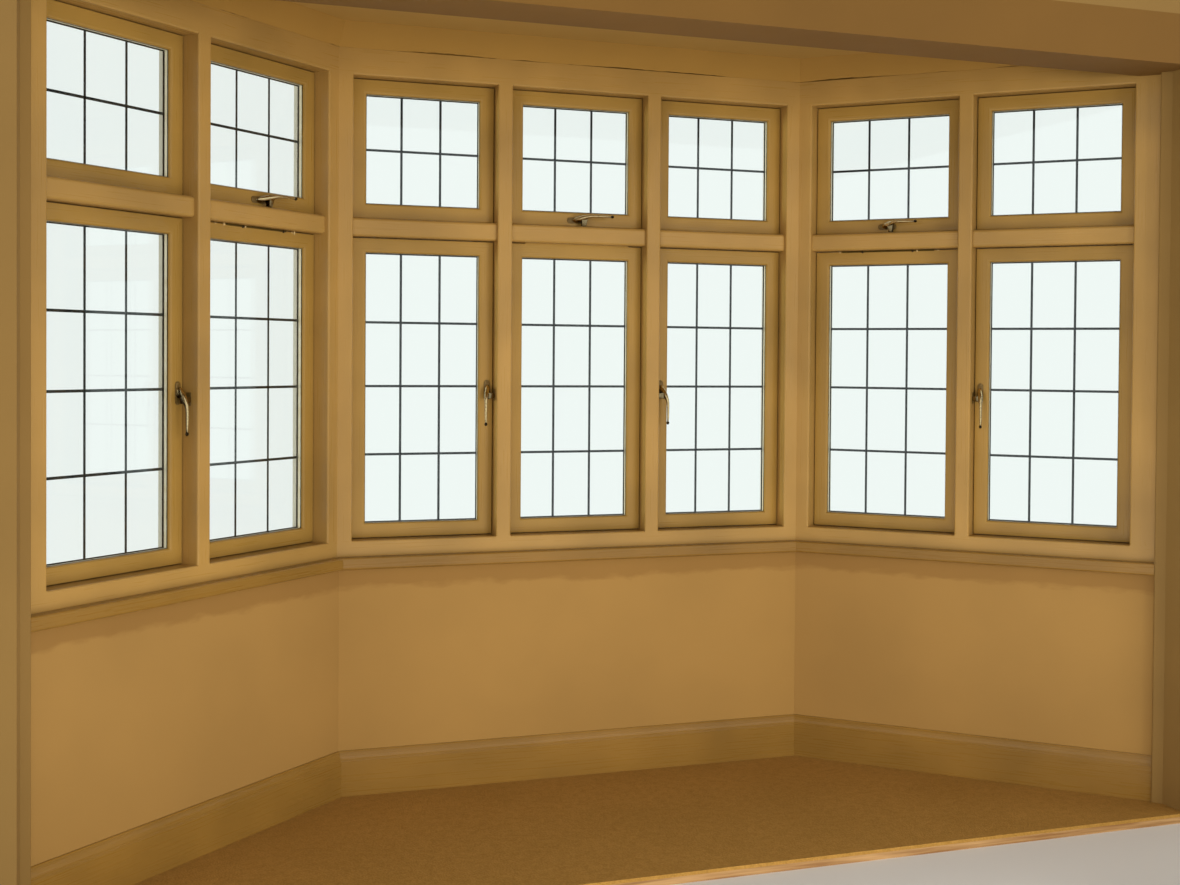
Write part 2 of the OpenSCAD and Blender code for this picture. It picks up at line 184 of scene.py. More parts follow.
def between(tree, value, low, high, to_low=0.0, to_high=1.0):
    """A value stretched from one range to another, and kept inside it."""
    return add(tree, "MapRange", {"Value": value, "From Min": low, "From Max": high,
                                  "To Min": to_low, "To Max": to_high}).outputs[0]


def blended(tree, share, first, second):
    """One colour or link laid over another by a share."""
    return add(tree, "Mix", {0: share, 6: first, 7: second}, data_type="RGBA").outputs[2]


def calculated(tree, operation, *values):
    """One sum on values or links."""
    return add(tree, "Math", dict(enumerate(values)), operation=operation).outputs[0]


def relief(tree, height, depth, strength=1.0, under=None):
    """A bump of real depth in metres, over another one if given."""
    inputs = {"Height": height, "Distance": depth, "Strength": strength}
    if under is not None:
        inputs["Normal"] = under
    return add(tree, "Bump", inputs).outputs[0]


print("a pattern on Object coordinates that repeats each", MM, "m is scaled by", round(1 / MM))

# %% [markdown]
# ## Brushed gloss paint on timber
#
# The frame and sashes are softwood under many coats of oil gloss that has yellowed to
# a warm cream in the room. Outside, beyond the middle of the glass, they are white and
# weathered. Brush marks run along each member, so upright and level members need the
# pattern turned, and the side faces turn it by the cant. The marks are a millimetre
# apart on the real thing, too fine to show from five metres, and are drawn at about
# five. A picture of brushed paint could be wrapped round each member, but noise drawn
# out along it fits any length and shows no seam. Older coats leave soft lumps, and an
# ambient occlusion node darkens the corners and gaps: partly dirt, partly painted shade.

# %% Depth out of the room
def depth_out(tree):
    """How far a place lies out of the room, behind the nearest face of the bay's frame."""
    where = add(tree, "SeparateXYZ", {0: here(tree)})
    x = calculated(tree, "ABSOLUTE", where.outputs["X"])
    y = calculated(tree, "SUBTRACT", where.outputs["Y"], face_y)
    sideways = calculated(tree, "SUBTRACT", x, half_front)
    slanted = calculated(tree, "ADD", calculated(tree, "MULTIPLY", sideways, math.sin(CANT)),
                         calculated(tree, "MULTIPLY", y, math.cos(CANT)))
    return calculated(tree, "MAXIMUM", slanted, y), where.outputs["Y"]


print("the frame reaches", round(FRAME_DEPTH / MM), "mm out of the room")

# %% Paint
BRUSH_MARK = 5 * MM
OLD_COAT = 45 * MM
YELLOWING = 350 * MM
CORNER_REACH = 1.5 * MM
PAINT_CORE = 78 * MM
# The sashes, boards and skirtings carry the frame's own paint; their darker colours are painted
# shade, of the sashes' recess and of the shaded fronts of boards and skirtings.
FRAME_PAINT, SASH_PAINT, BOARD_PAINT = "#ad8646", "#a27d3a", "#8d682c"
OUTSIDE_PAINT, GRIME_AND_SHADE = "#d8d1c1", "#4a2c0c"


def painted(name, colour, turned=None, gloss=0.3):
    """Gloss paint; turned is the way a level member runs, None for an upright one."""
    material, tree = new_finish(name)
    along = (1, 1, 40) if turned is None else (40, 1, 1)
    marks = grain(tree, BRUSH_MARK, 3.0, along, turned or 0.0)
    coats = grain(tree, OLD_COAT, 1.0)
    ageing = grain(tree, YELLOWING, 2.0)
    darker = shade(colour, 0.80)
    base = blended(tree, between(tree, ageing, 0.3, 0.7), darker, shade(colour, 1.10))
    base = blended(tree, between(tree, marks, 0.35, 0.75, 0.0, 0.08), base, darker)
    outside = calculated(tree, "GREATER_THAN", depth_out(tree)[0], PAINT_CORE)
    base = blended(tree, outside, base, OUTSIDE_PAINT)
    # Ambient occlusion darkens corners and gaps towards dark brown: partly dirt, partly painted
    # shade.
    open_air = add(tree, "AmbientOcclusion", {"Distance": CORNER_REACH}, samples=4).outputs["AO"]
    dirt_and_shade = between(tree, open_air, 0.1, 0.7, 0.45, 0.0)
    base = blended(tree, dirt_and_shade, base, GRIME_AND_SHADE)
    lumps = relief(tree, coats, 0.7 * MM, 0.45)
    bumps = relief(tree, marks, 0.12 * MM, 0.5, lumps)
    skin(tree, {"Base Color": base, "Normal": bumps, "IOR": 1.48, "Specular IOR Level": 0.38,
                "Roughness": between(tree, marks, 0.3, 0.7, gloss - 0.05, gloss + 0.09)})
    return material


upright_frame_paint = painted("frame_gloss_upright", FRAME_PAINT)
upright_sash_paint = painted("sash_gloss_upright", SASH_PAINT)
level_frame_paint = {f: painted("frame_gloss_" + f, FRAME_PAINT, t) for f, t in FACE_TURN.items()}
level_sash_paint = {f: painted("sash_gloss_" + f, SASH_PAINT, t) for f, t in FACE_TURN.items()}
board_paint = {f: painted("joinery_gloss_" + f, BOARD_PAINT, t, 0.28) for f, t in FACE_TURN.items()}
print("paints", 2 + 3 * len(FACES))

# %% [markdown]
# ## Plaster inside, pebbledash outside
#
# One masonry wall carries both finishes: lime plaster under matt paint on the room
# side, trowelled by hand and never quite flat, and white painted pebbledash outside,
# small stones thrown at wet render. Each face of the wall could have a material of its
# own, but the two meet inside the wall, and a share worked out from the depth behind
# the bay's faces chooses between them without touching the mesh. The stones are about
# 8 mm, one cell of a Voronoi pattern each, and the hollows between them are darkened
# as painted shade. Under the window boards a brown band with a ragged lower edge, about
# 60 mm deep, is the painted shadow of the boards.

# %% Depth of the plaster, and the painted shadow under the boards
WALL_CORE = 70 * MM
HOUSE_WALL_CORE = (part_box("right_return")[0].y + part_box("beam")[1].y) / 2 + 35 * MM
PEBBLE = 8 * MM
PLASTER, PEBBLEDASH = "#a37c40", "#d9d3c3"
BOARD_FOOT, SHADOW_BAND_DEPTH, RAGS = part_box("front_board")[0].z, 60 * MM, 45 * MM


def board_shadow_band(tree, base):
    """Painted shadow of the window boards: a brown band with a ragged foot, just under them."""
    height = add(tree, "SeparateXYZ", {0: here(tree)}).outputs["Z"]
    ragged = calculated(tree, "MULTIPLY", grain(tree, RAGS, 6.0, (2.2, 2.2, 0.8)), SHADOW_BAND_DEPTH)
    edge = calculated(tree, "ADD", height, ragged)
    foot = BOARD_FOOT - 0.5 * SHADOW_BAND_DEPTH
    share = between(tree, edge, foot - 0.12 * SHADOW_BAND_DEPTH, foot + 0.16 * SHADOW_BAND_DEPTH, 0.0, 0.42)
    return blended(tree, share, base, "#7a5220")


# The painted shadow hangs from the foot of the window boards.
print("the smear starts", round(BOARD_FOOT, 3), "m above the bay's base")

# %% Plaster and pebbledash
TROWEL_MARK, SAND, STAIN = 160 * MM, 9 * MM, 450 * MM


def plastered(name, colour, outside=False, board_shadow=False):
    """Painted lime plaster: matt and a little wavy; outside, hard round stones."""
    material, tree = new_finish(name)
    trowel = grain(tree, TROWEL_MARK, 2.0)
    fine = grain(tree, SAND, 3.0)
    stains = grain(tree, STAIN, 3.0)
    stained = between(tree, stains, 0.35, 0.68)
    base = blended(tree, stained, shade(colour, 1.04), shade(colour, 0.93))
    if board_shadow:
        base = board_shadow_band(tree, base)
    bumps = relief(tree, fine, 0.4 * MM, 0.3, relief(tree, trowel, 6 * MM, 0.35))
    if outside:
        deep_in, house = depth_out(tree)
        share = calculated(tree, "MULTIPLY", calculated(tree, "GREATER_THAN", deep_in, WALL_CORE),
                           calculated(tree, "GREATER_THAN", house, HOUSE_WALL_CORE))
        stones = add(tree, "TexVoronoi", {"Vector": place(tree, [1 / PEBBLE] * 3), "Scale": 1.0})
        tint = blended(tree, between(tree, stones.outputs["Color"], 0.2, 0.9, 0.0, 0.35),
                       PEBBLEDASH, "#a79f8d")
        # Painted shade: the hollows between the stones are darkened towards grey.
        hollow = between(tree, stones.outputs["Distance"], 0.3, 0.8)
        tint = blended(tree, calculated(tree, "MULTIPLY", hollow, 0.6), tint, "#7f7869")
        base = blended(tree, share, base, tint)
        height = calculated(tree, "MULTIPLY", share, between(tree, stones.outputs["Distance"],
                                                             0.0, 0.8, 1.0, 0.0))
        bumps = relief(tree, height, 3 * MM, 0.9, bumps)
    skin(tree, {"Base Color": base, "Roughness": 0.82, "Normal": bumps})
    return material


# The room's plaster is one paint: the returns and upper wall, the dwarf walls and most of all the
# beam get darker copies of it, painted shade of where they stand.
wall_finish = plastered("plaster_and_pebbledash", "#8a6a36", outside=True)
dwarf_finish = plastered("plaster_with_board_shadow_and_pebbledash", PLASTER, outside=True, board_shadow=True)
beam_finish = plastered("beam_plaster", "#765320")
band_finish = plastered("coving_plaster", "#a57c37")
ceiling_finish = plastered("ceiling_plaster", "#b58f49")
print("walls change finish", round(WALL_CORE / MM), "mm behind the frame face")

# %% [markdown]
# ## Carpet, boards, eaves
#
# The bay's floor is softwood boards under a cream wool carpet of short cut pile. Each
# tuft could be a few strands of hair, but from five metres a bump on small cells shows
# the same. The tufts are about 4 mm, drawn at 6 so that they show. The eaves outside
# are softwood under weathered white paint.

# %% Carpet
TUFT, HEATHER, TREAD = 6 * MM, 25 * MM, 400 * MM


def carpet_pile():
    """Wool cut pile: matt tufts with painted shade in the hollows between them, and a soft sheen.
    """
    material, tree = new_finish("wool_cut_pile")
    tufts = add(tree, "TexVoronoi", {"Vector": place(tree, [1 / TUFT] * 3), "Scale": 1.0})
    heather = grain(tree, HEATHER, 4.0)
    tread = grain(tree, TREAD, 2.0)
    base = blended(tree, between(tree, heather, 0.35, 0.7), "#b0843f", "#a47a37")
    base = blended(tree, between(tree, tread, 0.45, 0.7, 0.0, 0.3), base, "#97702f")
    # Painted shade: the hollows between the tufts are darkened towards dark brown.
    base = blended(tree, between(tree, tufts.outputs["Distance"], 0.25, 0.8, 0.0, 0.25), base,
                   "#6b4a1a")
    bumps = relief(tree, between(tree, tufts.outputs["Distance"], 0, 0.8, 1, 0), 3 * MM, 0.35)
    skin(tree, {"Base Color": base, "Roughness": 0.95, "Normal": bumps, "Specular IOR Level": 0.2,
                "Sheen Weight": 0.06, "Sheen Roughness": 0.5, "Sheen Tint": "#d8b070"})
    return material


carpet_finish = carpet_pile()
print("tufts drawn", TUFT / MM, "mm apart")

# %% Floor boards and eaves
GROWTH_LINE = 9 * MM


def bare_softwood(name, light, dark):
    """Bare pine: matt, with its growth lines drawn out along the boards."""
    material, tree = new_finish(name)
    lines = grain(tree, GROWTH_LINE, 4.0, (25, 1, 1))
    base = blended(tree, between(tree, lines, 0.35, 0.65), light, dark)
    skin(tree, {"Base Color": base, "Roughness": 0.7, "Normal": relief(tree, lines, 0.5 * MM, 0.5)})
    return material


board_finish = bare_softwood("bare_pine_boards", "#b78f5c", "#8a6134")
batten_finish = bare_softwood("roof_boards", "#7d5c3a", "#54391f")
eaves_paint = painted("weathered_white_paint", "#dcd6c6", 0.0, 0.45)
print("finishes so far", len(bpy.data.materials))

# %% [markdown]
# ## Frame nodes that keep their shape
#
# The posts, mullions, transoms, heads, cills, boards and walls are already right, with
# their worn round edges. They could be modelled again, but nothing would be gained, so
# they stay as they are and only get their finish.

# %% Finishes on the frame's nodes
FINISHES = [
    (upright_frame_paint, ["corner_posts", "wall_jambs", "front_mullions", "side_mullions"]),
    (board_finish, ["floor_deck"]),
    (carpet_finish, ["carpet"]),
    (beam_finish, ["beam"]),
    (ceiling_finish, ["bay_ceiling"]),
    (eaves_paint, ["soffit", "fascia"]),
    (wall_finish, ["left_return", "right_return", "upper_wall"]),
    (dwarf_finish, [face + "_wall" for face in FACES]),
]
for face in FACES:
    members = [face + member for member in ("_transoms", "_head", "_cill")]
    FINISHES.append((level_frame_paint[face], members))
    FINISHES.append((board_paint[face], [face + "_board", face + "_skirting"]))

for finish, nodes in FINISHES:
    for node in nodes:
        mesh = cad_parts[node].data
        mesh.materials.clear()
        mesh.materials.append(finish)
    print(finish.name, "on", ", ".join(nodes))

# %% [markdown]
# ## Openings, read from the glass
#
# The places of the sashes could be typed in again, but the frame already holds them.
# Each sealed unit is held eight millimetres behind the bead, so the glass boxes give
# every opening: its outline is the glass grown by the cover, the bead, the stile and
# the working gap. A frame node is loose triangles, so a copy is merged before its
# separate solids are told apart.

# %% Solids of a node
MERGE = 0.02 * MM


def merged(node):
    """A copy of a frame node with its loose triangles joined."""
    bm = bmesh.new()
    bm.from_mesh(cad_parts[node].data)
    bmesh.ops.remove_doubles(bm, verts=bm.verts, dist=MERGE)
    return bm


def corners(points):
    """The lowest and the highest corner of some points."""
    low = Vector(min(p[i] for p in points) for i in range(3))
    high = Vector(max(p[i] for p in points) for i in range(3))
    return low, high


def solids(node, matrix):
    """Lowest and highest corner of each solid of a node, in a face's own axes."""
    bm = merged(node)
    bm.transform(matrix.inverted())
    left, boxes = set(bm.verts), []
    while left:
        found = [left.pop()]
        for vert in found:
            near = [e.other_vert(vert) for e in vert.link_edges]
            fresh = [v for v in near if v in left]
            left.difference_update(fresh)
            found.extend(fresh)
        boxes.append(corners([v.co for v in found]))
    bm.free()
    return sorted(boxes, key=lambda b: (round(b[0].z, 2), b[0].x))


print("panes in front", [round(low.x, 3) for low, high in solids("front_glass", FACES["front"])])

# %% Openings
GAP, STILE, BEAD, COVER = 4 * MM, 36 * MM, 10 * MM, 8 * MM
SIGHT = GAP + STILE + BEAD
SASH_FACE, SASH_BACK = 57 * MM, 104 * MM
GLASS_FACE, GLASS_BACK = 66 * MM, 86 * MM
LIP = 9 * MM


def openings(face):
    """Low and high corner (along, height) of each opening, the lower row first."""
    grow = SIGHT - COVER
    found = []
    for low, high in solids(face + "_glass", FACES[face]):
        found.append((Vector((low.x - grow, low.z - grow)), Vector((high.x + grow, high.z + grow))))
    return found


OPENINGS = {face: openings(face) for face in FACES}
ROWS = {}
for face, found in OPENINGS.items():
    ROWS[face] = found[:len(found) // 2], found[len(found) // 2:]
for face, (lower, upper) in ROWS.items():
    print(face, [tuple(round(x / MM) for x in (*low, *high)) for low, high in lower + upper])

# %% [markdown]
# ## Sashes
#
# A sash is four members of one section, joined at the corners. It could be four
# blocks, but the section has a worn edge, a face that rounds off softly to the glass
# and a storm lip outside. So the section is drawn once as steps of inset and depth, and
# a rectangle of four edges is extruded from step to step until it meets itself. Faces
# that run level get the level paint, the others the upright one.

# %% Rings drawn by extrusion
def arc(centre, radius, start, end, steps):
    """Points of an arc in (inset, depth), from one angle to another in degrees."""
    turns = [math.radians(start + (end - start) * i / steps) for i in range(steps + 1)]
    return [(centre[0] + radius * math.cos(t), centre[1] + radius * math.sin(t)) for t in turns]


def extruded(bm, edges):
    """Extrudes a loop of edges, and gives the new loop's corners and edges."""
    grown = bmesh.ops.extrude_edge_only(bm, edges=edges)["geom"]
    verts = [g for g in grown if isinstance(g, bmesh.types.BMVert)]
    edges = [g for g in grown if isinstance(g, bmesh.types.BMEdge)]
    return verts, [e for e in edges if all(v in verts for v in e.verts)]


def ring(bm, low, high, section):
    """A closed ring round an opening, its section given as (inset, depth) points."""
    middle, half = (low + high) / 2, (high - low) / 2

    def moved(verts, inset, depth):
        for vert in verts:
            x = math.copysign(half.x - inset, vert.co.x - middle.x)
            z = math.copysign(half.y - inset, vert.co.z - middle.y)
            vert.co = (middle.x + x, depth, middle.y + z)

    signs = ((-1, -1), (1, -1), (1, 1), (-1, 1))
    verts = [bm.verts.new((middle.x + sx, 0, middle.y + sz)) for sx, sz in signs]
    moved(verts, *section[0])
    edges = [bm.edges.new((verts[i - 1], verts[i])) for i in range(4)]
    first = list(verts)
    for inset, depth in section[1:] + section[:1]:
        verts, edges = extruded(bm, edges)
        moved(verts, inset, depth)
    bmesh.ops.remove_doubles(bm, verts=first + verts, dist=MERGE)


print("an arc in 4 steps has", len(arc((0, 0), 1, 0, 90, 4)), "points")

# %% Section of a sash
WORN, ROUND, SHADOW_GAP = 1.6 * MM, 9.5 * MM, 2.7 * MM
SASH_SECTION = (
    [(SHADOW_GAP, FRAME_DEPTH - 1 * MM)]
    + arc((SHADOW_GAP + WORN, SASH_FACE + WORN), WORN, 180, 270, 4)
    + arc((SIGHT - ROUND, SASH_FACE + ROUND), ROUND, 270, 358, 7)
    + [(SIGHT, GLASS_FACE + 1 * MM), (SIGHT - COVER, GLASS_FACE + 1 * MM),
       (SIGHT - COVER, GLASS_BACK), (SIGHT, GLASS_BACK), (SIGHT - 1 * MM, SASH_BACK)]
    + [(2 * MM - LIP, SASH_BACK), (-LIP, SASH_BACK - 2 * MM), (-LIP, FRAME_DEPTH)]
    + [(SHADOW_GAP, FRAME_DEPTH)]
)
print("section of", len(SASH_SECTION), "points")

# %% Pieces that ride on the frame
BODY = "root"


def placed(bm, matrix):
    """Moves a mesh to its place; a mirrored one gets its faces turned outwards."""
    bm.transform(matrix)
    if matrix.determinant() < 0:
        bmesh.ops.reverse_faces(bm, faces=bm.faces)
    return bm


def shown(name, bm, materials, stands_for=(), smooth=None):
    """A finished mesh as an object that rides on the frame."""
    mesh = bpy.data.meshes.new(name)
    bm.to_mesh(mesh)
    bm.free()
    for material in materials:
        mesh.materials.append(material)
    if smooth is not None:
        mesh.shade_smooth()
        mesh.set_sharp_from_angle(angle=math.radians(smooth))
    thing = bpy.data.objects.new(name, mesh)
    bpy.context.scene.collection.objects.link(thing)
    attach(thing, BODY)
    if stands_for:
        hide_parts(*stands_for)
    print(name, len(mesh.polygons), "faces")
    return thing


# %% Rows of sashes
def sash_row(face, row, name):
    """The sashes of one row of a face, as one mesh."""
    whole = bmesh.new()
    for low, high in ROWS[face][row]:
        ring(whole, low, high, SASH_SECTION)
    for polygon in whole.faces:
        spans = [max(v.co[i] for v in polygon.verts) - min(v.co[i] for v in polygon.verts)
                 for i in (0, 2)]
        polygon.material_index = 1 if spans[0] > spans[1] else 0
    bmesh.ops.recalc_face_normals(whole, faces=whole.faces)
    placed(whole, FACES[face])
    node = "_".join((face, name, "sashes"))
    shown("joined_" + node, whole, [upright_sash_paint, level_sash_paint[face]],
          [node], smooth=40)


for face in FACES:
    sash_row(face, 0, "lower")
    sash_row(face, 1, "upper")

# %% [markdown]
# ## Draught strips and clots of paint
#
# Two of the lower casements have an old strip of brown felt tacked over the gap at their
# top, with a dark pin near each end, and clots of paint have dried along it. The felt's
# dark brown also stands for the shade in the slit, as painted shade. Over the middle
# casement paint has closed the gap. Pins and clots could be sculpted, but they are a few
# millimetres wide, and a ball squeezed flat looks the same. Places are distances along
# the face, in millimetres.

# %% Blocks and balls
def add_to(whole, part):
    """Adds one mesh to another and frees it."""
    spare = bpy.data.meshes.new("spare")
    part.to_mesh(spare)
    part.free()
    whole.from_mesh(spare)
    bpy.data.meshes.remove(spare)


def rounded(bm, edges, width, segments=2):
    """Bevels edges; the profile of 0.5 makes them round."""
    bmesh.ops.bevel(bm, geom=edges, offset=width, segments=segments, affect="EDGES",
                    profile=0.5, material=-1)


def block(low, high, edge=0.0):
    """A block between two corners, with its edges taken off if a width is given."""
    bm = bmesh.new()
    bmesh.ops.create_cube(bm, size=1)
    low, high = Vector(low), Vector(high)
    bmesh.ops.scale(bm, vec=high - low, verts=bm.verts)
    bmesh.ops.translate(bm, vec=(low + high) / 2, verts=bm.verts)
    if edge:
        rounded(bm, bm.edges[:], edge, 1)
    return bm


def flattened_ball(spot, radii):
    """A ball squeezed to three radii, at a place."""
    bm = bmesh.new()
    bmesh.ops.create_icosphere(bm, subdivisions=2, radius=1)
    bmesh.ops.scale(bm, vec=radii, verts=bm.verts)
    bmesh.ops.translate(bm, vec=spot, verts=bm.verts)
    return bm


trial = block((0, 0, 0), (1, 1, 1), 0.1)
print("a block with its edges taken off has", len(trial.faces), "faces")
trial.free()

# %% Finishes of one colour
def plain(name, colour, rough, metallic, patch, size, share):
    """A finish of one colour with patches of another, size metres across, and a fine relief."""
    material, tree = new_finish(name)
    cloud = grain(tree, size, 3.0)
    base = blended(tree, between(tree, cloud, 0.4, 0.7, 0.0, share), colour, patch)
    skin(tree, {"Base Color": base, "Metallic": metallic,
                "Roughness": between(tree, cloud, 0.3, 0.7, rough - 0.08, rough + 0.1),
                "Normal": relief(tree, cloud, 0.2 * MM, 0.4)})
    return material


# Felt is matt and crumbles darker, and its dark brown also stands for the shade in the
# slit it covers, as painted shade; a rusted pin is nearly black, and clotted paint is
# pale and half shiny.
felt_finish = plain("perished_brown_felt", "#4f3c12", 0.9, 0.0, "#38290b", 4 * MM, 0.7)
pin_finish = plain("rusted_pin", "#1d1207", 0.7, 0.0, "#3a2110", 2 * MM, 0.5)
clot_finish = plain("clotted_paint", "#cdb27a", 0.5, 0.0, "#a58040", 10 * MM, 0.5)
print("made", felt_finish.name, pin_finish.name, clot_finish.name)

# %% Strips, pins and clots
STRIP_H, STRIP_T = 5 * MM, 2.5 * MM
STRIPS = {"left": (186, 452), "right": (146, 482)}
PINS = {"left": (199, 382), "right": (222, 405)}
CLOTS = {"left": ((148, 3.5, 7), (160, 2.5, 3), (372, 3.5, 4), (463, 4, 5), (500, 4, 2.5)),
         "right": ((138, 3.5, 3.5), (421, 3, 4), (496, 5, 2))}
CLOSED = (630, 996)


def swelling(x, z, half_w, half_h, out):
    """A lump on the face of the sashes."""
    return flattened_ball((x * MM, SASH_FACE - STRIP_T / 2, z), Vector((half_w, out, half_h)) * MM)


def old_strips(face, top):
    """Felt, pins and clots of one face, in a mesh for each of the three finishes."""
    felt, pins, clots = bmesh.new(), bmesh.new(), bmesh.new()
    start, end = (x * MM for x in STRIPS[face])
    add_to(felt, block((start, SASH_FACE - STRIP_T, top - STRIP_H - 1 * MM),
                       (end, SASH_FACE + 2 * MM, top - 1 * MM), 0.8 * MM))
    for x in PINS[face]:
        add_to(pins, swelling(x, top - 4.5 * MM, 4.5, 4.5, 3.5))
    for x, half_w, half_h in CLOTS[face]:
        add_to(clots, swelling(x, top - 4 * MM, half_w, half_h, 3))
    return felt, pins, clots


for face in STRIPS:
    parts = old_strips(face, ROWS[face][0][0][1].y)
    finishes = (felt_finish, pin_finish, clot_finish)
    for name, part, finish in zip(("felt_strip", "strip_pins", "paint_clots"), parts, finishes):
        shown(face + "_" + name, placed(part, FACES[face]), [finish], smooth=50)
low, high = ROWS["front"][0][1]
filled = block((CLOSED[0] * MM, SASH_FACE + 0.4 * MM, high.y - 5 * MM),
               (CLOSED[1] * MM, SASH_FACE + 6 * MM, high.y + 0.5 * MM))
placed(filled, FACES["front"])
shown("paint_in_the_gap", filled, [level_sash_paint["front"]])

# %% [markdown]
# ## Sealed glass units
#
# Each unit is two panes of 4 mm float glass with a 12 mm space between them all round,
# kept by a bar of gold anodised aluminium, glued to both with dark butyl sealant that
# shows as a line each side of the bar. Outside, a black fillet of the same sealant
# closes the edge of the glass, and its black is also painted shade, for the dark line
# that the shaded outer reveals draw round each pane. A pane could be one thin face, but
# real panes bend and reflect, so each is a closed block with an index of its own. Glass
# has 1.52, but its four faces would mirror the white studio far more than they mirrored
# the dim room, so it is brought down. Shadow rays pass straight through, because lamps
# can't find a way through refracting glass.

# %% Clear glass
GLASS_IOR = 1.26
FILM = 50 * MM


def clear_glass():
    """Float glass: clear, with a faint film that blurs it in places."""
    material, tree = new_finish("float_glass")
    film = grain(tree, FILM, 4.0, (1, 1, 5))
    rough = between(tree, film, 0.5, 0.8, 0.0, 0.035)
    pane = add(tree, "BsdfPrincipled", {"Base Color": "#fbfefc", "Roughness": rough,
                                        "IOR": GLASS_IOR, "Transmission Weight": 1.0})
    open_way = add(tree, "BsdfTransparent", {0: "#f4faf7"})
    shadow = add(tree, "LightPath").outputs["Is Shadow Ray"]
    both = add(tree, "MixShader", {0: shadow, 1: pane.outputs[0], 2: open_way.outputs[0]})
    add(tree, "OutputMaterial", {0: both.outputs[0]})
    return material


glass_finish = clear_glass()
print("made", glass_finish.name, "with an index of", GLASS_IOR)

# %% Spacer, sealant and their sections
# Anodised aluminium has a satin skin; its near-white colour is painted light, standing
# in for sun on the bars, so that they show pale gold between the panes. Butyl sealant is
# a soft black line, a little shiny.
spacer_finish = plain("gold_anodised_aluminium", "#fff0d2", 0.45, 0.15, "#f3d9a8", 30 * MM, 0.5)
sealant_finish = plain("black_butyl_sealant", "#241a11", 0.6, 0.0, "#120d08", 20 * MM, 0.5)
PANE = 4 * MM
NEAR_SEAL, FAR_SEAL = 0.4 * MM, 1.2 * MM
BAR_IN, SEAL_IN, FILLET = 0.4 * MM, 0.9 * MM, 3.6 * MM


def square(inner, outer, near, far):
    """A plain section between two insets and two depths."""
    return [(inner, near), (outer, near), (outer, far), (inner, far)]


near_face, far_face = GLASS_FACE + PANE, GLASS_BACK - PANE
SPACER = square(SIGHT - COVER, SIGHT + BAR_IN, near_face + NEAR_SEAL, far_face - FAR_SEAL)
NEAR_LINE = square(SIGHT - COVER, SIGHT + SEAL_IN, near_face, near_face + NEAR_SEAL)
FAR_LINE = square(SIGHT - COVER, SIGHT + SEAL_IN, far_face - FAR_SEAL, far_face)
# The outer fillet is black partly as painted shade: it draws the dark line that the shaded outer
# reveals leave round each pane.
OUTER_LINE = [(SIGHT - 2 * MM, GLASS_BACK), (SIGHT + FILLET, GLASS_BACK),
              (SIGHT + FILLET - 1 * MM, GLASS_BACK + 1 * MM), (SIGHT - 2 * MM, GLASS_BACK + 3 * MM)]
print("space between the panes", round((far_face - near_face) / MM), "mm")

# %% Panes and rings in place
def rings(face, section):
    """One ring in every opening of a face, still in that face's axes."""
    whole = bmesh.new()
    for low, high in OPENINGS[face]:
        ring(whole, low, high, section)
    bmesh.ops.recalc_face_normals(whole, faces=whole.faces)
    return whole


def panes(face):
    """Both panes of every unit of a face, still in that face's axes."""
    whole = bmesh.new()
    edge = Vector((1, 1)) * (SIGHT - COVER + 0.2 * MM)
    for low, high in OPENINGS[face]:
        near, far = low + edge, high - edge
        for depth in (GLASS_FACE, GLASS_BACK - PANE):
            add_to(whole, block((near.x, depth + 0.1 * MM, near.y),
                                (far.x, depth + PANE - 0.1 * MM, far.y)))
    return whole


for face, way in FACES.items():
    glass = placed(panes(face), way)
    shown(face + "_panes", glass, [glass_finish], [face + "_glass"])
    bars = placed(rings(face, SPACER), way)
    shown(face + "_spacer_bars", bars, [spacer_finish])
    sealant = rings(face, NEAR_LINE)
    add_to(sealant, rings(face, FAR_LINE))
    add_to(sealant, rings(face, OUTER_LINE))
    shown(face + "_sealant", placed(sealant, way), [sealant_finish])

# %% [markdown]
# ## Lead strips
#
# The small panes are only suggested: flat strips of lead, eight millimetres wide with a
# low round back, are stuck to the outer face of each unit. Lines could be painted on
# the glass, but a strip with a thickness looks right from the side too. So each is a
# block with its long edges bevelled, and each crossing has a flat drop of solder.

# %% Lead on the outer face of the glass
# Weathered lead, with paler patches, hardly shines as a metal; it is drawn near black as
# painted shade, for strips seen in shadow against the bright glass.
lead_finish = plain("weathered_lead", "#2b2c2f", 0.6, 0.4, "#434446", 12 * MM, 0.6)
LEAD_W, LEAD_T = 8 * MM, 1.3 * MM
COLUMN = {"front": 129 * MM, "left": 145 * MM, "right": 145 * MM}
COLUMN_SHIFT = -5 * MM
LOWER_LINES = (274 * MM, 499 * MM, 709 * MM)
UPPER_LINES = (228 * MM,)
LEAD_BACK = GLASS_BACK + LEAD_T
SOLDER = (4.4 * MM, 1.2 * MM, 4.4 * MM)


def strip(low, high, long_axis):
    """A strip of lead with its long edges taken off."""
    bm = block(low, high)
    long_edges = [e for e in bm.edges if abs((e.verts[0].co - e.verts[1].co)[long_axis]) > LEAD_W]
    rounded(bm, long_edges, 0.6 * MM)
    return bm


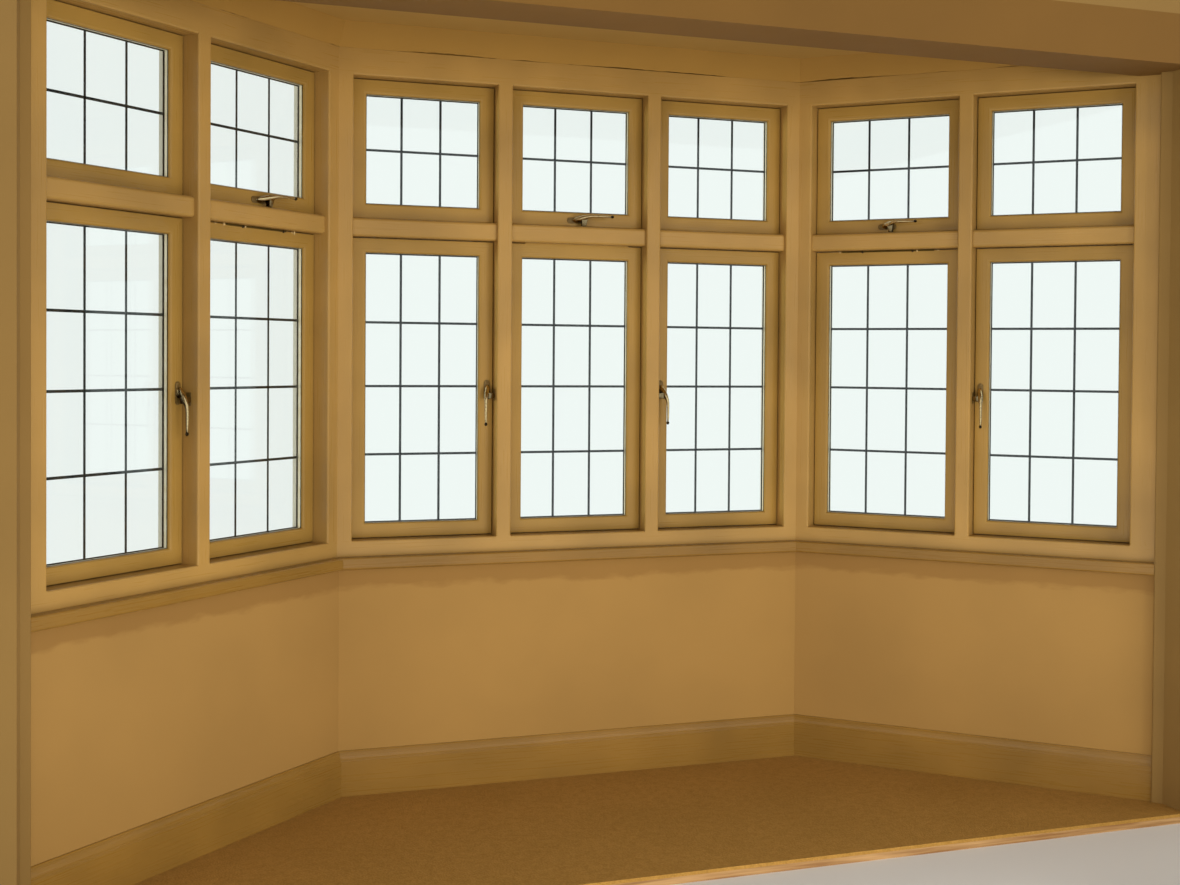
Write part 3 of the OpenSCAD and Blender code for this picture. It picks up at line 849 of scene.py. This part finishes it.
def leading(face):
    """All strips and solder of a face: two uprights in each light, and its level lines."""
    whole = bmesh.new()
    inset = Vector((SIGHT, SIGHT))
    for row, lines in zip(ROWS[face], (LOWER_LINES, UPPER_LINES)):
        for low, high in row:
            middle = (low.x + high.x) / 2 + COLUMN_SHIFT
            uprights = [middle - COLUMN[face] / 2, middle + COLUMN[face] / 2]
            levels = [low.y + line for line in lines]
            near, far = low + inset, high - inset
            for x in uprights:
                add_to(whole, strip((x - LEAD_W / 2, GLASS_BACK, near.y),
                                    (x + LEAD_W / 2, LEAD_BACK, far.y), 2))
            for z in levels:
                add_to(whole, strip((near.x, GLASS_BACK, z - LEAD_W / 2),
                                    (far.x, LEAD_BACK + 0.3 * MM, z + LEAD_W / 2), 0))
            for x in uprights:
                for z in levels:
                    add_to(whole, flattened_ball((x, LEAD_BACK, z), SOLDER))
    return whole


for face, way in FACES.items():
    strips = placed(leading(face), way)
    shown(face + "_lead_strips", strips, [lead_finish], smooth=50)

# %% [markdown]
# ## Casement fasteners
#
# Each opening sash is held by a cast fastener of aged bronze: a screwed plate, an oval
# boss over the pivot, a body that swells outwards into a slim handle with a ball end,
# and a flat nose that turns into a keeper plate in the frame. It could be sculpted in
# one lump, but it reads by its parts: the body and handle are one round section drawn
# along a bent line and narrowed on the way, the rest are bevelled blocks and turned
# shapes. The bronze is nearly black; the side that faces the room and the tops are
# painted pale as a painted highlight, and the sides, the hollows and the ball are left
# dark as painted shade, so each point of a part carries its share of highlight as an
# attribute. Plate and keeper have been painted over.

# %% Aged bronze
def aged_bronze():
    """Cast bronze: nearly black, with a painted pale highlight on the side that faces the room."""
    material, tree = new_finish("aged_bronze_casting")
    cloud = grain(tree, 6 * MM, 4.0)
    open_air = add(tree, "AmbientOcclusion", {"Distance": 5 * MM}, samples=4).outputs["AO"]
    room_side_highlight = add(tree, "Attribute", attribute_name="room_side_highlight").outputs["Fac"]
    # The highlight fades in the hollows, as painted shade.
    room_side_highlight = calculated(tree, "MULTIPLY", between(tree, room_side_highlight, 0.2, 0.75),
                        between(tree, open_air, 0.35, 0.85))
    room_side_highlight = calculated(tree, "MULTIPLY", room_side_highlight, between(tree, cloud, 0.3, 0.6, 0.6, 1.0))
    base = blended(tree, room_side_highlight, "#2f2414", "#e0c996")
    skin(tree, {"Base Color": base, "Metallic": 1.0, "Normal": relief(tree, cloud, 0.2 * MM, 0.2),
                "Roughness": between(tree, cloud, 0.3, 0.7, 0.14, 0.24)})
    return material


bronze_finish = aged_bronze()
# Bronze under old paint is brown and half shiny, with darker metal showing through.
dull_finish = plain("painted_over_bronze", "#7d6231", 0.4, 0.3, "#54401c", 6 * MM, 0.6)
print("made", bronze_finish.name, dull_finish.name)

# %% Bars and turned shapes
def drawn(stations, segments=14):
    """A round bar through stations of (place, across radius, thick radius)."""
    bm = bmesh.new()
    matrices = []
    for i, (spot, wide, thick) in enumerate(stations):
        before, after = stations[max(i - 1, 0)][0], stations[min(i + 1, len(stations) - 1)][0]
        line = (Vector(after) - Vector(before)).normalized()
        side = Vector((1, 0, 0)) - line * line.x
        side.normalize()
        turned = Matrix((side, line.cross(side), line)).transposed().to_4x4()
        matrices.append(Matrix.Translation(spot) @ turned @ Matrix.Diagonal((wide, thick, 1, 1)))
    start = bmesh.ops.create_circle(bm, cap_ends=True, radius=1, segments=segments)["verts"]
    edges = [e for e in bm.edges if all(v in start for v in e.verts)]
    bmesh.ops.transform(bm, matrix=matrices[0], verts=start)
    for old, new in zip(matrices, matrices[1:]):
        verts, edges = extruded(bm, edges)
        bmesh.ops.transform(bm, matrix=new @ old.inverted(), verts=verts)
    bmesh.ops.holes_fill(bm, edges=[e for e in bm.edges if e.is_boundary], sides=0)
    bmesh.ops.recalc_face_normals(bm, faces=bm.faces)
    return bm


def turned_shape(profile, spot, segments=20):
    """A shape turned about the depth axis, from (radius, depth) points."""
    bm = bmesh.new()
    verts = [bm.verts.new((r * MM, d * MM, 0)) for r, d in profile]
    edges = [bm.edges.new(pair) for pair in zip(verts, verts[1:])]
    bmesh.ops.spin(bm, geom=verts + edges, cent=(0, 0, 0), axis=(0, 1, 0), steps=segments,
                   angle=2 * math.pi, use_merge=True)
    bmesh.ops.remove_doubles(bm, verts=bm.verts, dist=MERGE)
    bmesh.ops.recalc_face_normals(bm, faces=bm.faces)
    bmesh.ops.translate(bm, vec=Vector(spot) * MM, verts=bm.verts)
    return bm


trial = drawn([((0, 0, 0), 1, 1), ((0, 0, 1), 1, 1)])
print("a bar of two stations has", len(trial.faces), "faces, its two ends among them")
trial.free()

# %% Rubbing, and the smallest parts
def lit_towards_room(bm, share, finish=0):
    """Marks how much painted highlight each point gets: most where it faces the room."""
    bm.normal_update()
    layer = bm.verts.layers.float.new("room_side_highlight")
    for vert in bm.verts:
        # Painted highlight: most where a point faces the room, a little more on top.
        vert[layer] = share * min(1.0, max(0.0, 0.1 - 1.1 * vert.normal.y + 0.35 * vert.normal.z))
    for polygon in bm.faces:
        polygon.material_index = finish
    return bm


def cast_block(low, high, edge=0.0):
    """A block with its corners in millimetres."""
    return block(Vector(low) * MM, Vector(high) * MM, edge)


def screw_head(x, y, z):
    """A screw head whose slot is filled with old paint, its place in millimetres."""
    bm = turned_shape([(0, -1.0), (2.2, -0.8), (3.2, 0), (3.2, 1)], (x, y, z), 12)
    add_to(bm, cast_block((x - 2.8, y - 1.05, z - 0.35), (x + 2.8, y - 0.7, z + 0.35)))
    return bm


trial = screw_head(0, 0, 0)
print("a screw head and its filled slot have", len(trial.faces), "faces")
trial.free()

# %% One fastener
PLATE_HALF_W, PLATE_HALF_L, PLATE_T, SCREW_UP = 10, 33, 3, 26
KEEPER = ((20.6, -30, -36), (22, -12, 2))
NOSE = ((-6, -37, -31), (20.4, -15, -9))
NOSE_TIP = Vector((20.4, -24, -18)) * MM
BOSS = [(0, -22), (3.5, -21.4), (6.4, -19.5), (7.8, -16), (7.6, -11), (8.6, -9), (8.6, -4),
        (9.4, -2.5)]
# Stations of a bar: its place, and its radius across and through, in millimetres.
BODY_AND_HANDLE = [
    ((0, -9, 15), 4, 3), ((-1, -13, 9), 7.2, 6), ((-3, -20, -1), 8.6, 9), ((-6, -28, -12), 8.6, 10),
    ((-9, -36.5, -23), 7.4, 8.6), ((-11.5, -43.5, -33), 5.6, 6.2), ((-12.6, -47.3, -43), 4.7, 4.8),
    ((-13, -48.5, -56), 4.4, 4.2), ((-13, -48.5, -76), 4.1, 3.8), ((-13, -48.2, -95), 3.6, 3.4),
    ((-12.7, -47.8, -109), 2.8, 2.7)]
BALL_RINGS = ((-108, 1.6), (-110, 3.9), (-114, 5.2), (-118, 4), (-120, 1.4))
BALL = [((-12.7, -47.8, z), radius, radius) for z, radius in BALL_RINGS]


def fastener():
    """Plate on the plane y = 0, handle hanging along -z, nose towards +x, in millimetres."""
    whole = cast_block((-PLATE_HALF_W, -PLATE_T, -PLATE_HALF_L), (PLATE_HALF_W, 0, PLATE_HALF_L))
    short_edges = [e for e in whole.edges if abs((e.verts[0].co - e.verts[1].co).y) > MM]
    rounded(whole, short_edges, (PLATE_HALF_W - 0.2) * MM, 6)
    front = [e for e in whole.edges if all(v.co.y < -(PLATE_T - 0.1) * MM for v in e.verts)]
    rounded(whole, front, 0.8 * MM)
    for z in (-SCREW_UP, SCREW_UP):
        add_to(whole, screw_head(0, -PLATE_T, z))
    add_to(whole, cast_block(*KEEPER, 0.4 * MM))
    lit_towards_room(whole, 0.0, 1)
    boss = turned_shape(BOSS, (0, 0, 0))
    bmesh.ops.scale(boss, vec=(1, 1, 1.5), verts=boss.verts)
    add_to(whole, lit_towards_room(boss, 1.0))
    for bar, share in ((BODY_AND_HANDLE, 1.0), (BALL, 0.15)):
        stations = [([c * MM for c in spot], w * MM, t * MM) for spot, w, t in bar]
        add_to(whole, lit_towards_room(drawn(stations), share))
    nose = cast_block(*NOSE)
    tip = [v for v in nose.verts if v.co.x > 0]
    bmesh.ops.scale(nose, vec=(1, 0.6, 0.65), verts=tip, space=Matrix.Translation(-NOSE_TIP))
    rounded(nose, nose.edges[:], 1.6 * MM)
    add_to(whole, lit_towards_room(nose, 0.42))
    return whole


trial = fastener()
print("one fastener has", len(trial.faces), "faces")
trial.free()

# %% Fasteners in place
PLATE_UP = 488 * MM
NOSE_WAY = {("front", 0): 1, ("front", 2): -1, ("left", 1): -1, ("right", 1): -1}
HANDLE_WAY = {("front", 1): 1, ("left", 0): -1, ("right", 0): 1}
STILE_MIDDLE = GAP + STILE / 2


def fastener_places(face):
    """The place of each fastener of a face, in that face's axes."""
    places = []
    for (owner, light), way in NOSE_WAY.items():
        if owner == face:
            low, high = ROWS[face][0][light]
            x = high.x - STILE_MIDDLE if way > 0 else low.x + STILE_MIDDLE
            spot = Matrix.Translation((x, SASH_FACE, low.y + PLATE_UP))
            places.append(spot @ Matrix.Scale(way, 4, (1, 0, 0)))
    for (owner, light), way in HANDLE_WAY.items():
        if owner == face:
            low, high = ROWS[face][1][light]
            spot = Matrix.Translation(((low.x + high.x) / 2, SASH_FACE, low.y + STILE_MIDDLE))
            laid = Matrix.Rotation(math.radians(-90), 4, "Y") @ Matrix.Scale(-1, 4, (1, 0, 0))
            places.append(spot @ Matrix.Scale(way, 4, (1, 0, 0)) @ laid)
    return places


for face in FACES:
    whole = bmesh.new()
    whole.verts.layers.float.new("room_side_highlight")
    for spot in fastener_places(face):
        one = fastener()
        placed(one, spot)
        add_to(whole, one)
    placed(whole, FACES[face])
    shown(face + "_bronze_fasteners", whole, [bronze_finish, dull_finish],
          [face + "_fasteners"], smooth=35)

# %% [markdown]
# ## The plaster band and its crack
#
# Plaster shrinks away from timber, so a crack of up to six millimetres runs along the
# top of the frame's head, closed with paint in places. The band is a copy of the
# frame's solid, cut across every centimetre or so, and each point of its lower edge is
# lifted by noise. That leaves a real gap with a real shadow, which a dark painted line
# would not give.

# %% Cracked band
CRACK_STEP = 14 * MM
CRACK_MEAN, CRACK_PLAY = 1.6 * MM, 6.0 * MM
CRACK_LEAST, CRACK_MOST = 0.3 * MM, 6 * MM
LONG_WAVES, SHORT_WAVES = 5, 37
front_length = 2 * half_front
side_length = 1.3 * front_length


def cut_across(bm, face, length):
    """Cuts a mesh square to a face's length, once for each step."""
    along = FACES[face].to_3x3() @ Vector((1, 0, 0))
    for i in range(1, int(length / CRACK_STEP)):
        spot = FACES[face] @ Vector((i * CRACK_STEP, 0, 0))
        geom = bm.verts[:] + bm.edges[:] + bm.faces[:]
        bmesh.ops.bisect_plane(bm, geom=geom, plane_co=spot, plane_no=along)


def on_a_face(spot):
    """True for a point on the plane of one of the three faces."""
    depths = [(way.inverted() @ spot).y for way in FACES.values()]
    return min(abs(d) for d in depths) < 0.5 * MM


def cracked_band():
    """The band, with its lower edge lifted off the head by the crack."""
    bm = merged("ceiling_band")
    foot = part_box("ceiling_band")[0].z
    for face in FACES:
        cut_across(bm, face, front_length if face == "front" else side_length)
    for vert in bm.verts:
        if vert.co.z < foot + 0.1 * MM and on_a_face(vert.co):
            wide = noise.noise(vert.co * LONG_WAVES) + 0.5 * noise.noise(vert.co * SHORT_WAVES)
            vert.co.z += min(CRACK_MOST, max(CRACK_LEAST, CRACK_MEAN + CRACK_PLAY * wide))
    return bm


shown("cracked_plaster_band", cracked_band(), [band_finish], ["ceiling_band"])

# %% [markdown]
# ## Clay roof tiles
#
# The bay is roofed with plain clay tiles, 265 by 165 by 12 mm, hung in courses 100 mm
# apart so that each lies on the two below it, with the joints of one course over the
# middles of the next. A bump pattern could draw them, but the eaves and hips would stay
# smooth, so one tile is modelled, with its slight camber and soft tail, and laid again
# and again with a little play. Each slope is then cut where the hips run.
# Tiles from one kiln differ in tone, so every tile carries its own tone as an
# attribute of its faces, which the finish reads.

# %% Slopes of the roof
ROOF_PITCH = math.radians(25)
TILE_W, TILE_L, TILE_T = 165 * MM, 265 * MM, 12 * MM
GAUGE, JOINT, CAMBER = 100 * MM, 3 * MM, 3 * MM
TAIL_DOWN = 8 * MM
LEAN = math.atan(TILE_T / GAUGE)
roof_low, roof_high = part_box("roof")
roof_out = roof_high.y - face_y
roof_back = face_y - roof_low.y
eave_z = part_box("beam")[1].z + 20 * MM
mitre = math.tan(CANT / 2)
RIGHT_HIP = (Vector((half_front, face_y, 0)), Vector((1, -mitre, 0)))
LEFT_HIP = (Vector((-half_front, face_y, 0)), Vector((-1, -mitre, 0)))
ENDS = [(roof_low, Vector((-1, 0, 0))), (roof_high, Vector((1, 0, 0))),
        (roof_low, Vector((0, -1, 0)))]
BOUNDS = {"front": [LEFT_HIP, RIGHT_HIP] + ENDS,
          "right": [(RIGHT_HIP[0], -RIGHT_HIP[1])] + ENDS,
          "left": [(LEFT_HIP[0], -LEFT_HIP[1])] + ENDS}


def slope(face):
    """Axes of a roof slope: x along the eave, y up the slope, z square to it."""
    eave = Matrix.Translation((0, roof_out, eave_z)) @ Matrix.Rotation(math.pi, 4, "Z")
    return FACES[face] @ eave @ Matrix.Rotation(ROOF_PITCH, 4, "X")


def cut_off(bm, spot, way):
    """Removes what lies beyond a plane and closes the cut."""
    geom = bm.verts[:] + bm.edges[:] + bm.faces[:]
    bmesh.ops.bisect_plane(bm, geom=geom, plane_co=spot, plane_no=way, clear_outer=True)
    rims = [e for e in bm.edges if e.is_boundary]
    bmesh.ops.holes_fill(bm, edges=rims, sides=0)


print("slopes", round((roof_out + roof_back) / math.cos(ROOF_PITCH), 3), "m long")

# %% One tile, and a slope of them
def tile():
    """A plain tile: tail at y = 0, its upper face at z = 0."""
    bm = block((JOINT / 2 - TILE_W / 2, 0, -TILE_T), (TILE_W / 2 - JOINT / 2, TILE_L, 0))
    wide = [e for e in bm.edges if abs((e.verts[0].co - e.verts[1].co).x) > TILE_T]
    bmesh.ops.subdivide_edges(bm, edges=wide, cuts=3, use_grid_fill=True)
    for vert in bm.verts:
        vert.co.z -= CAMBER * (2 * vert.co.x / TILE_W) ** 2
    tail = [e for e in bm.edges if all(v.co.y < 0.1 * MM for v in e.verts)
            and all(v.co.z > -TILE_T / 2 for v in e.verts)]
    rounded(bm, tail, 2 * MM)
    return bm


def toned(bm, tone):
    """Gives every face of one tile that tile's own tone."""
    layer = bm.faces.layers.float.new("tone")
    for polygon in bm.faces:
        polygon[layer] = tone
    return bm


def all_beyond(points, planes):
    """True if all points lie beyond one of the planes."""
    return any(all((p - spot).dot(way) > 0 for p in points) for spot, way in planes)


def tiled(face, chance):
    """A slope of tiles, cut to its bounds, in the frame's axes."""
    whole, one, way = bmesh.new(), tile(), slope(face)
    whole.faces.layers.float.new("tone")
    courses = math.ceil((roof_out + roof_back) / math.cos(ROOF_PITCH) / GAUGE)
    reach = math.ceil(2 * roof_high.x / TILE_W)
    count = 0
    for course in range(courses):
        for column in range(-reach, reach):
            tone = chance.random()
            skew = math.radians(chance.uniform(-0.5, 0.5))
            lift, slip = chance.uniform(0, 1.2) * MM, chance.uniform(-1.5, 1.5) * MM
            x = (column + 0.5 * (course % 2)) * TILE_W
            laid = (way @ Matrix.Translation((x, course * GAUGE + max(0, slip), lift - TAIL_DOWN))
                    @ Matrix.Rotation(-LEAN, 4, "X") @ Matrix.Rotation(skew, 4, "Z"))
            if all_beyond([laid @ v.co for v in one.verts], BOUNDS[face]):
                continue
            add_to(whole, toned(placed(one.copy(), laid), tone))
            count += 1
    one.free()
    for spot, outward in BOUNDS[face]:
        cut_off(whole, spot, outward)
    print(face, "slope", count, "tiles")
    return whole


# %% Clay, mortar and the tiled slopes
GRIT, SOOT, LICHEN = 4 * MM, 120 * MM, 35 * MM


def fired_clay():
    """Fired clay: matt and sandy, darkened by soot and spotted with pale lichen."""
    material, tree = new_finish("weathered_clay_tile")
    tone = add(tree, "Attribute", attribute_name="tone").outputs["Fac"]
    sand = grain(tree, GRIT, 4.0)
    cloud = grain(tree, SOOT, 3.0)
    base = blended(tree, tone, "#6f4230", "#9a5f43")
    base = blended(tree, between(tree, cloud, 0.45, 0.7, 0.0, 0.7), base, "#4f3a2f")
    lichen = between(tree, grain(tree, LICHEN, 6.0), 0.62, 0.68, 0.0, 0.65)
    base = blended(tree, lichen, base, "#a39c84")
    base = blended(tree, between(tree, sand, 0.35, 0.7, 0.0, 0.3), base, "#3d2c24")
    skin(tree, {"Base Color": base, "Roughness": 0.86, "Normal": relief(tree, sand, 0.8 * MM, 0.6)})
    return material


clay_finish = fired_clay()
# Lime mortar is pale grey, matt and patchy.
mortar_finish = plain("lime_mortar", "#8f877a", 0.9, 0.0, "#6e675c", 10 * MM, 0.8)
tile_chance = random.Random(25)
tiles = bmesh.new()
tiles.faces.layers.float.new("tone")
for face in FACES:
    add_to(tiles, tiled(face, tile_chance))
shown("clay_roof_tiles", tiles, [clay_finish])

# %% [markdown]
# ## Boards under the tiles, and hip tiles
#
# What is left of the frame's roof solid, cut down to the underside of the tiles, stands
# for battens and rafters. Half round tiles bedded in mortar close the hips. One could be
# cut from a pipe, but a rectangle as wide as its wall and as long as the tile, spun
# through half a turn, gives it at once. The mortar under them is the same shape, a
# little smaller, thick enough to fill them and as long as the hip.

# %% Roof boards
UNDER_TILES = TAIL_DOWN + TILE_T + TILE_L * math.sin(LEAN) + 1 * MM
boards = merged("roof")
for face in FACES:
    way = slope(face)
    up = (way.to_3x3() @ Vector((0, 0, 1))).normalized()
    cut_off(boards, way @ Vector((0, 0, -UNDER_TILES)), up)
bmesh.ops.recalc_face_normals(boards, faces=boards.faces)
shown("roof_boards", boards, [batten_finish], ["roof"])

# %% Half round hip tiles
HIP_R, HIP_WALL, HIP_L, HIP_JOINT = 88 * MM, 12 * MM, 290 * MM, 7 * MM
HIP_PROUD = 22 * MM
HIP_START, HIP_STOP = 45 * MM, 20 * MM


def half_round(radius, wall, length):
    """A half round shell along +y, open side down."""
    bm = bmesh.new()
    bmesh.ops.create_grid(bm, x_segments=1, y_segments=1, size=0.5)
    bmesh.ops.scale(bm, vec=(wall, length, 1), verts=bm.verts)
    bmesh.ops.translate(bm, vec=(radius - wall / 2, length / 2, 0), verts=bm.verts)
    bmesh.ops.spin(bm, geom=bm.faces[:], cent=(0, 0, 0), axis=(0, -1, 0), steps=14, angle=math.pi)
    bmesh.ops.recalc_face_normals(bm, faces=bm.faces)
    rims = [e for e in bm.edges if abs(e.verts[0].co.y - e.verts[1].co.y) < MERGE
            and all(math.hypot(v.co.x, v.co.z) > radius - 0.1 * MM for v in e.verts)]
    rounded(bm, rims, 2.5 * MM)
    return bm


def hip_axes(side):
    """Axes of a hip: y up along it, from the corner of the eaves; and its length."""
    foot = Vector((side * (half_front + roof_out * mitre), face_y + roof_out, eave_z))
    deep = roof_out + roof_back
    line = Vector((-side * deep * mitre, -deep, deep * math.tan(ROOF_PITCH)))
    along = line.normalized()
    across = along.cross(Vector((0, 0, 1))).normalized()
    upward = across.cross(along)
    axes = Matrix((across, along, upward)).transposed().to_4x4()
    sunk = Matrix.Translation((0, 0, HIP_PROUD - HIP_R))
    return Matrix.Translation(foot) @ axes @ sunk, line.length


print("each hip is", round(hip_axes(1)[1], 3), "m long")

# %% Hips
def hips(chance):
    """The hip tiles of both hips, and the mortar under them."""
    whole, bedding = bmesh.new(), bmesh.new()
    whole.faces.layers.float.new("tone")
    for side in (-1, 1):
        axes, length = hip_axes(side)
        count = round((length - HIP_START - HIP_STOP) / HIP_L)
        pitch_l = (length - HIP_START - HIP_STOP) / count
        for i in range(count):
            one = toned(half_round(HIP_R, HIP_WALL, pitch_l - HIP_JOINT), chance.random())
            rock = Matrix.Rotation(math.radians(chance.uniform(-0.8, 0.8)), 4, "X")
            spot = Matrix.Translation((0, HIP_START + i * pitch_l, 0))
            add_to(whole, placed(one, axes @ spot @ rock))
        core = half_round(HIP_R - 5 * MM, HIP_R - 6 * MM, length - HIP_START - HIP_STOP)
        add_to(bedding, placed(core, axes @ Matrix.Translation((0, HIP_START + 2 * MM, 0))))
    for bm in (whole, bedding):
        cut_off(bm, roof_low, Vector((0, -1, 0)))
        cut_off(bm, roof_high - Vector((0, 0, 0.5 * MM)), Vector((0, 0, 1)))
    return whole, bedding


hip_tiles, hip_bedding = hips(tile_chance)
shown("half_round_hip_tiles", hip_tiles, [clay_finish], smooth=35)
shown("hip_mortar", hip_bedding, [mortar_finish])

# %% [markdown]
# ## The stage and the light
#
# A plain pale floor, a white background and soft studio lamps. The lamps in the room
# stand far off and low, so that the beam throws no shadow on the windows: a strong one
# right of the middle and a weak one left of it, and one before each side face. They
# make no reflections, because a pane would mirror them to the camera. A low lamp plays
# the light that a floor sends up, and two outside light the outer face and give the
# outer reveals their bright edges. The background is white only to the camera, to
# reflections and through glass, so it adds no light, and the floor fades into it where
# no shadow falls.

# %% Stage
BACKGROUND = "#f7fafa"
FADE_FROM, FADE_TO = 3.6, 5.6


def seen_share(tree):
    """One for rays that show the background: camera, reflected and through glass."""
    path = add(tree, "LightPath").outputs
    mirrored = calculated(tree, "MAXIMUM", path["Is Glossy Ray"], path["Is Transmission Ray"])
    return calculated(tree, "MAXIMUM", path["Is Camera Ray"], mirrored)


def pale_floor():
    """Matt pale floor that turns into the plain background where the rays show it."""
    material, tree = new_finish("pale_studio_floor")
    far = add(tree, "VectorMath", {0: here(tree)}, operation="LENGTH").outputs["Value"]
    fade = calculated(tree, "MULTIPLY", between(tree, far, FADE_FROM, FADE_TO), seen_share(tree))
    lit = add(tree, "BsdfPrincipled", {"Base Color": "#e6e4df", "Roughness": 0.9})
    plain_white = add(tree, "Emission", {"Color": BACKGROUND, "Strength": 1.0})
    both = add(tree, "MixShader", {0: fade, 1: lit.outputs[0], 2: plain_white.outputs[0]})
    add(tree, "OutputMaterial", {0: both.outputs[0]})
    return material


bm = bmesh.new()
bmesh.ops.create_circle(bm, cap_ends=True, radius=FADE_TO + 0.4, segments=96)
floor_mesh = bpy.data.meshes.new("studio_floor")
bm.to_mesh(floor_mesh)
bm.free()
floor_mesh.materials.append(pale_floor())
studio_floor = bpy.data.objects.new("studio_floor", floor_mesh)
bpy.context.scene.collection.objects.link(studio_floor)

world = bpy.data.worlds.new("studio")
bpy.context.scene.world = world
world.use_nodes = True
tree = world.node_tree
tree.nodes.clear()
soft = add(tree, "Background", {"Color": "#fffaf2", "Strength": 0.48})
white = add(tree, "Background", {"Color": BACKGROUND, "Strength": 1.0})
sky = add(tree, "MixShader", {0: seen_share(tree), 1: soft.outputs[0], 2: white.outputs[0]})
add(tree, "OutputWorld", {0: sky.outputs[0]})
print("floor fades between", FADE_FROM, "and", FADE_TO, "m")

# %% Lamps
LAMPS = (
    # name, place, aim, width in metres, watts
    ("key", (3.6, -9.0, 1.7), (0, 0, 1.4), 3.2, 305),
    ("middle", (-3.0, -9.2, 1.7), (0, 0, 1.4), 3.2, 75),
    ("left", (-7.2, -6.8, 1.7), (0.3, 0, 1.4), 2.6, 160),
    ("right", (9.5, -4.8, 1.8), (0, 0, 1.4), 3.2, 140),
    ("floor_bounce", (0, -1.3, 0.1), (0, -0.1, 2.4), 2.0, 30),
    ("outside_left", (-5.6, 3.0, 1.7), (0.4, 0.1, 1.6), 2.6, 230),
    ("outside_right", (5.0, 5.5, 3.4), (0, 0.3, 1.5), 3.0, 90),
)
for name, spot, aim, size, watts in LAMPS:
    light = bpy.data.lights.new(name, "AREA")
    light.shape = "SQUARE"
    light.size = size
    light.energy = watts
    thing = bpy.data.objects.new(name, light)
    way = (Vector(aim) - Vector(spot)).to_track_quat("-Z", "Y")
    thing.matrix_world = Matrix.Translation(spot) @ way.to_matrix().to_4x4()
    thing.visible_camera = False
    thing.visible_transmission = False
    thing.visible_glossy = False
    bpy.context.scene.collection.objects.link(thing)

bpy.context.scene.view_settings.view_transform = "Standard"
print("lamps", len(bpy.data.lights))
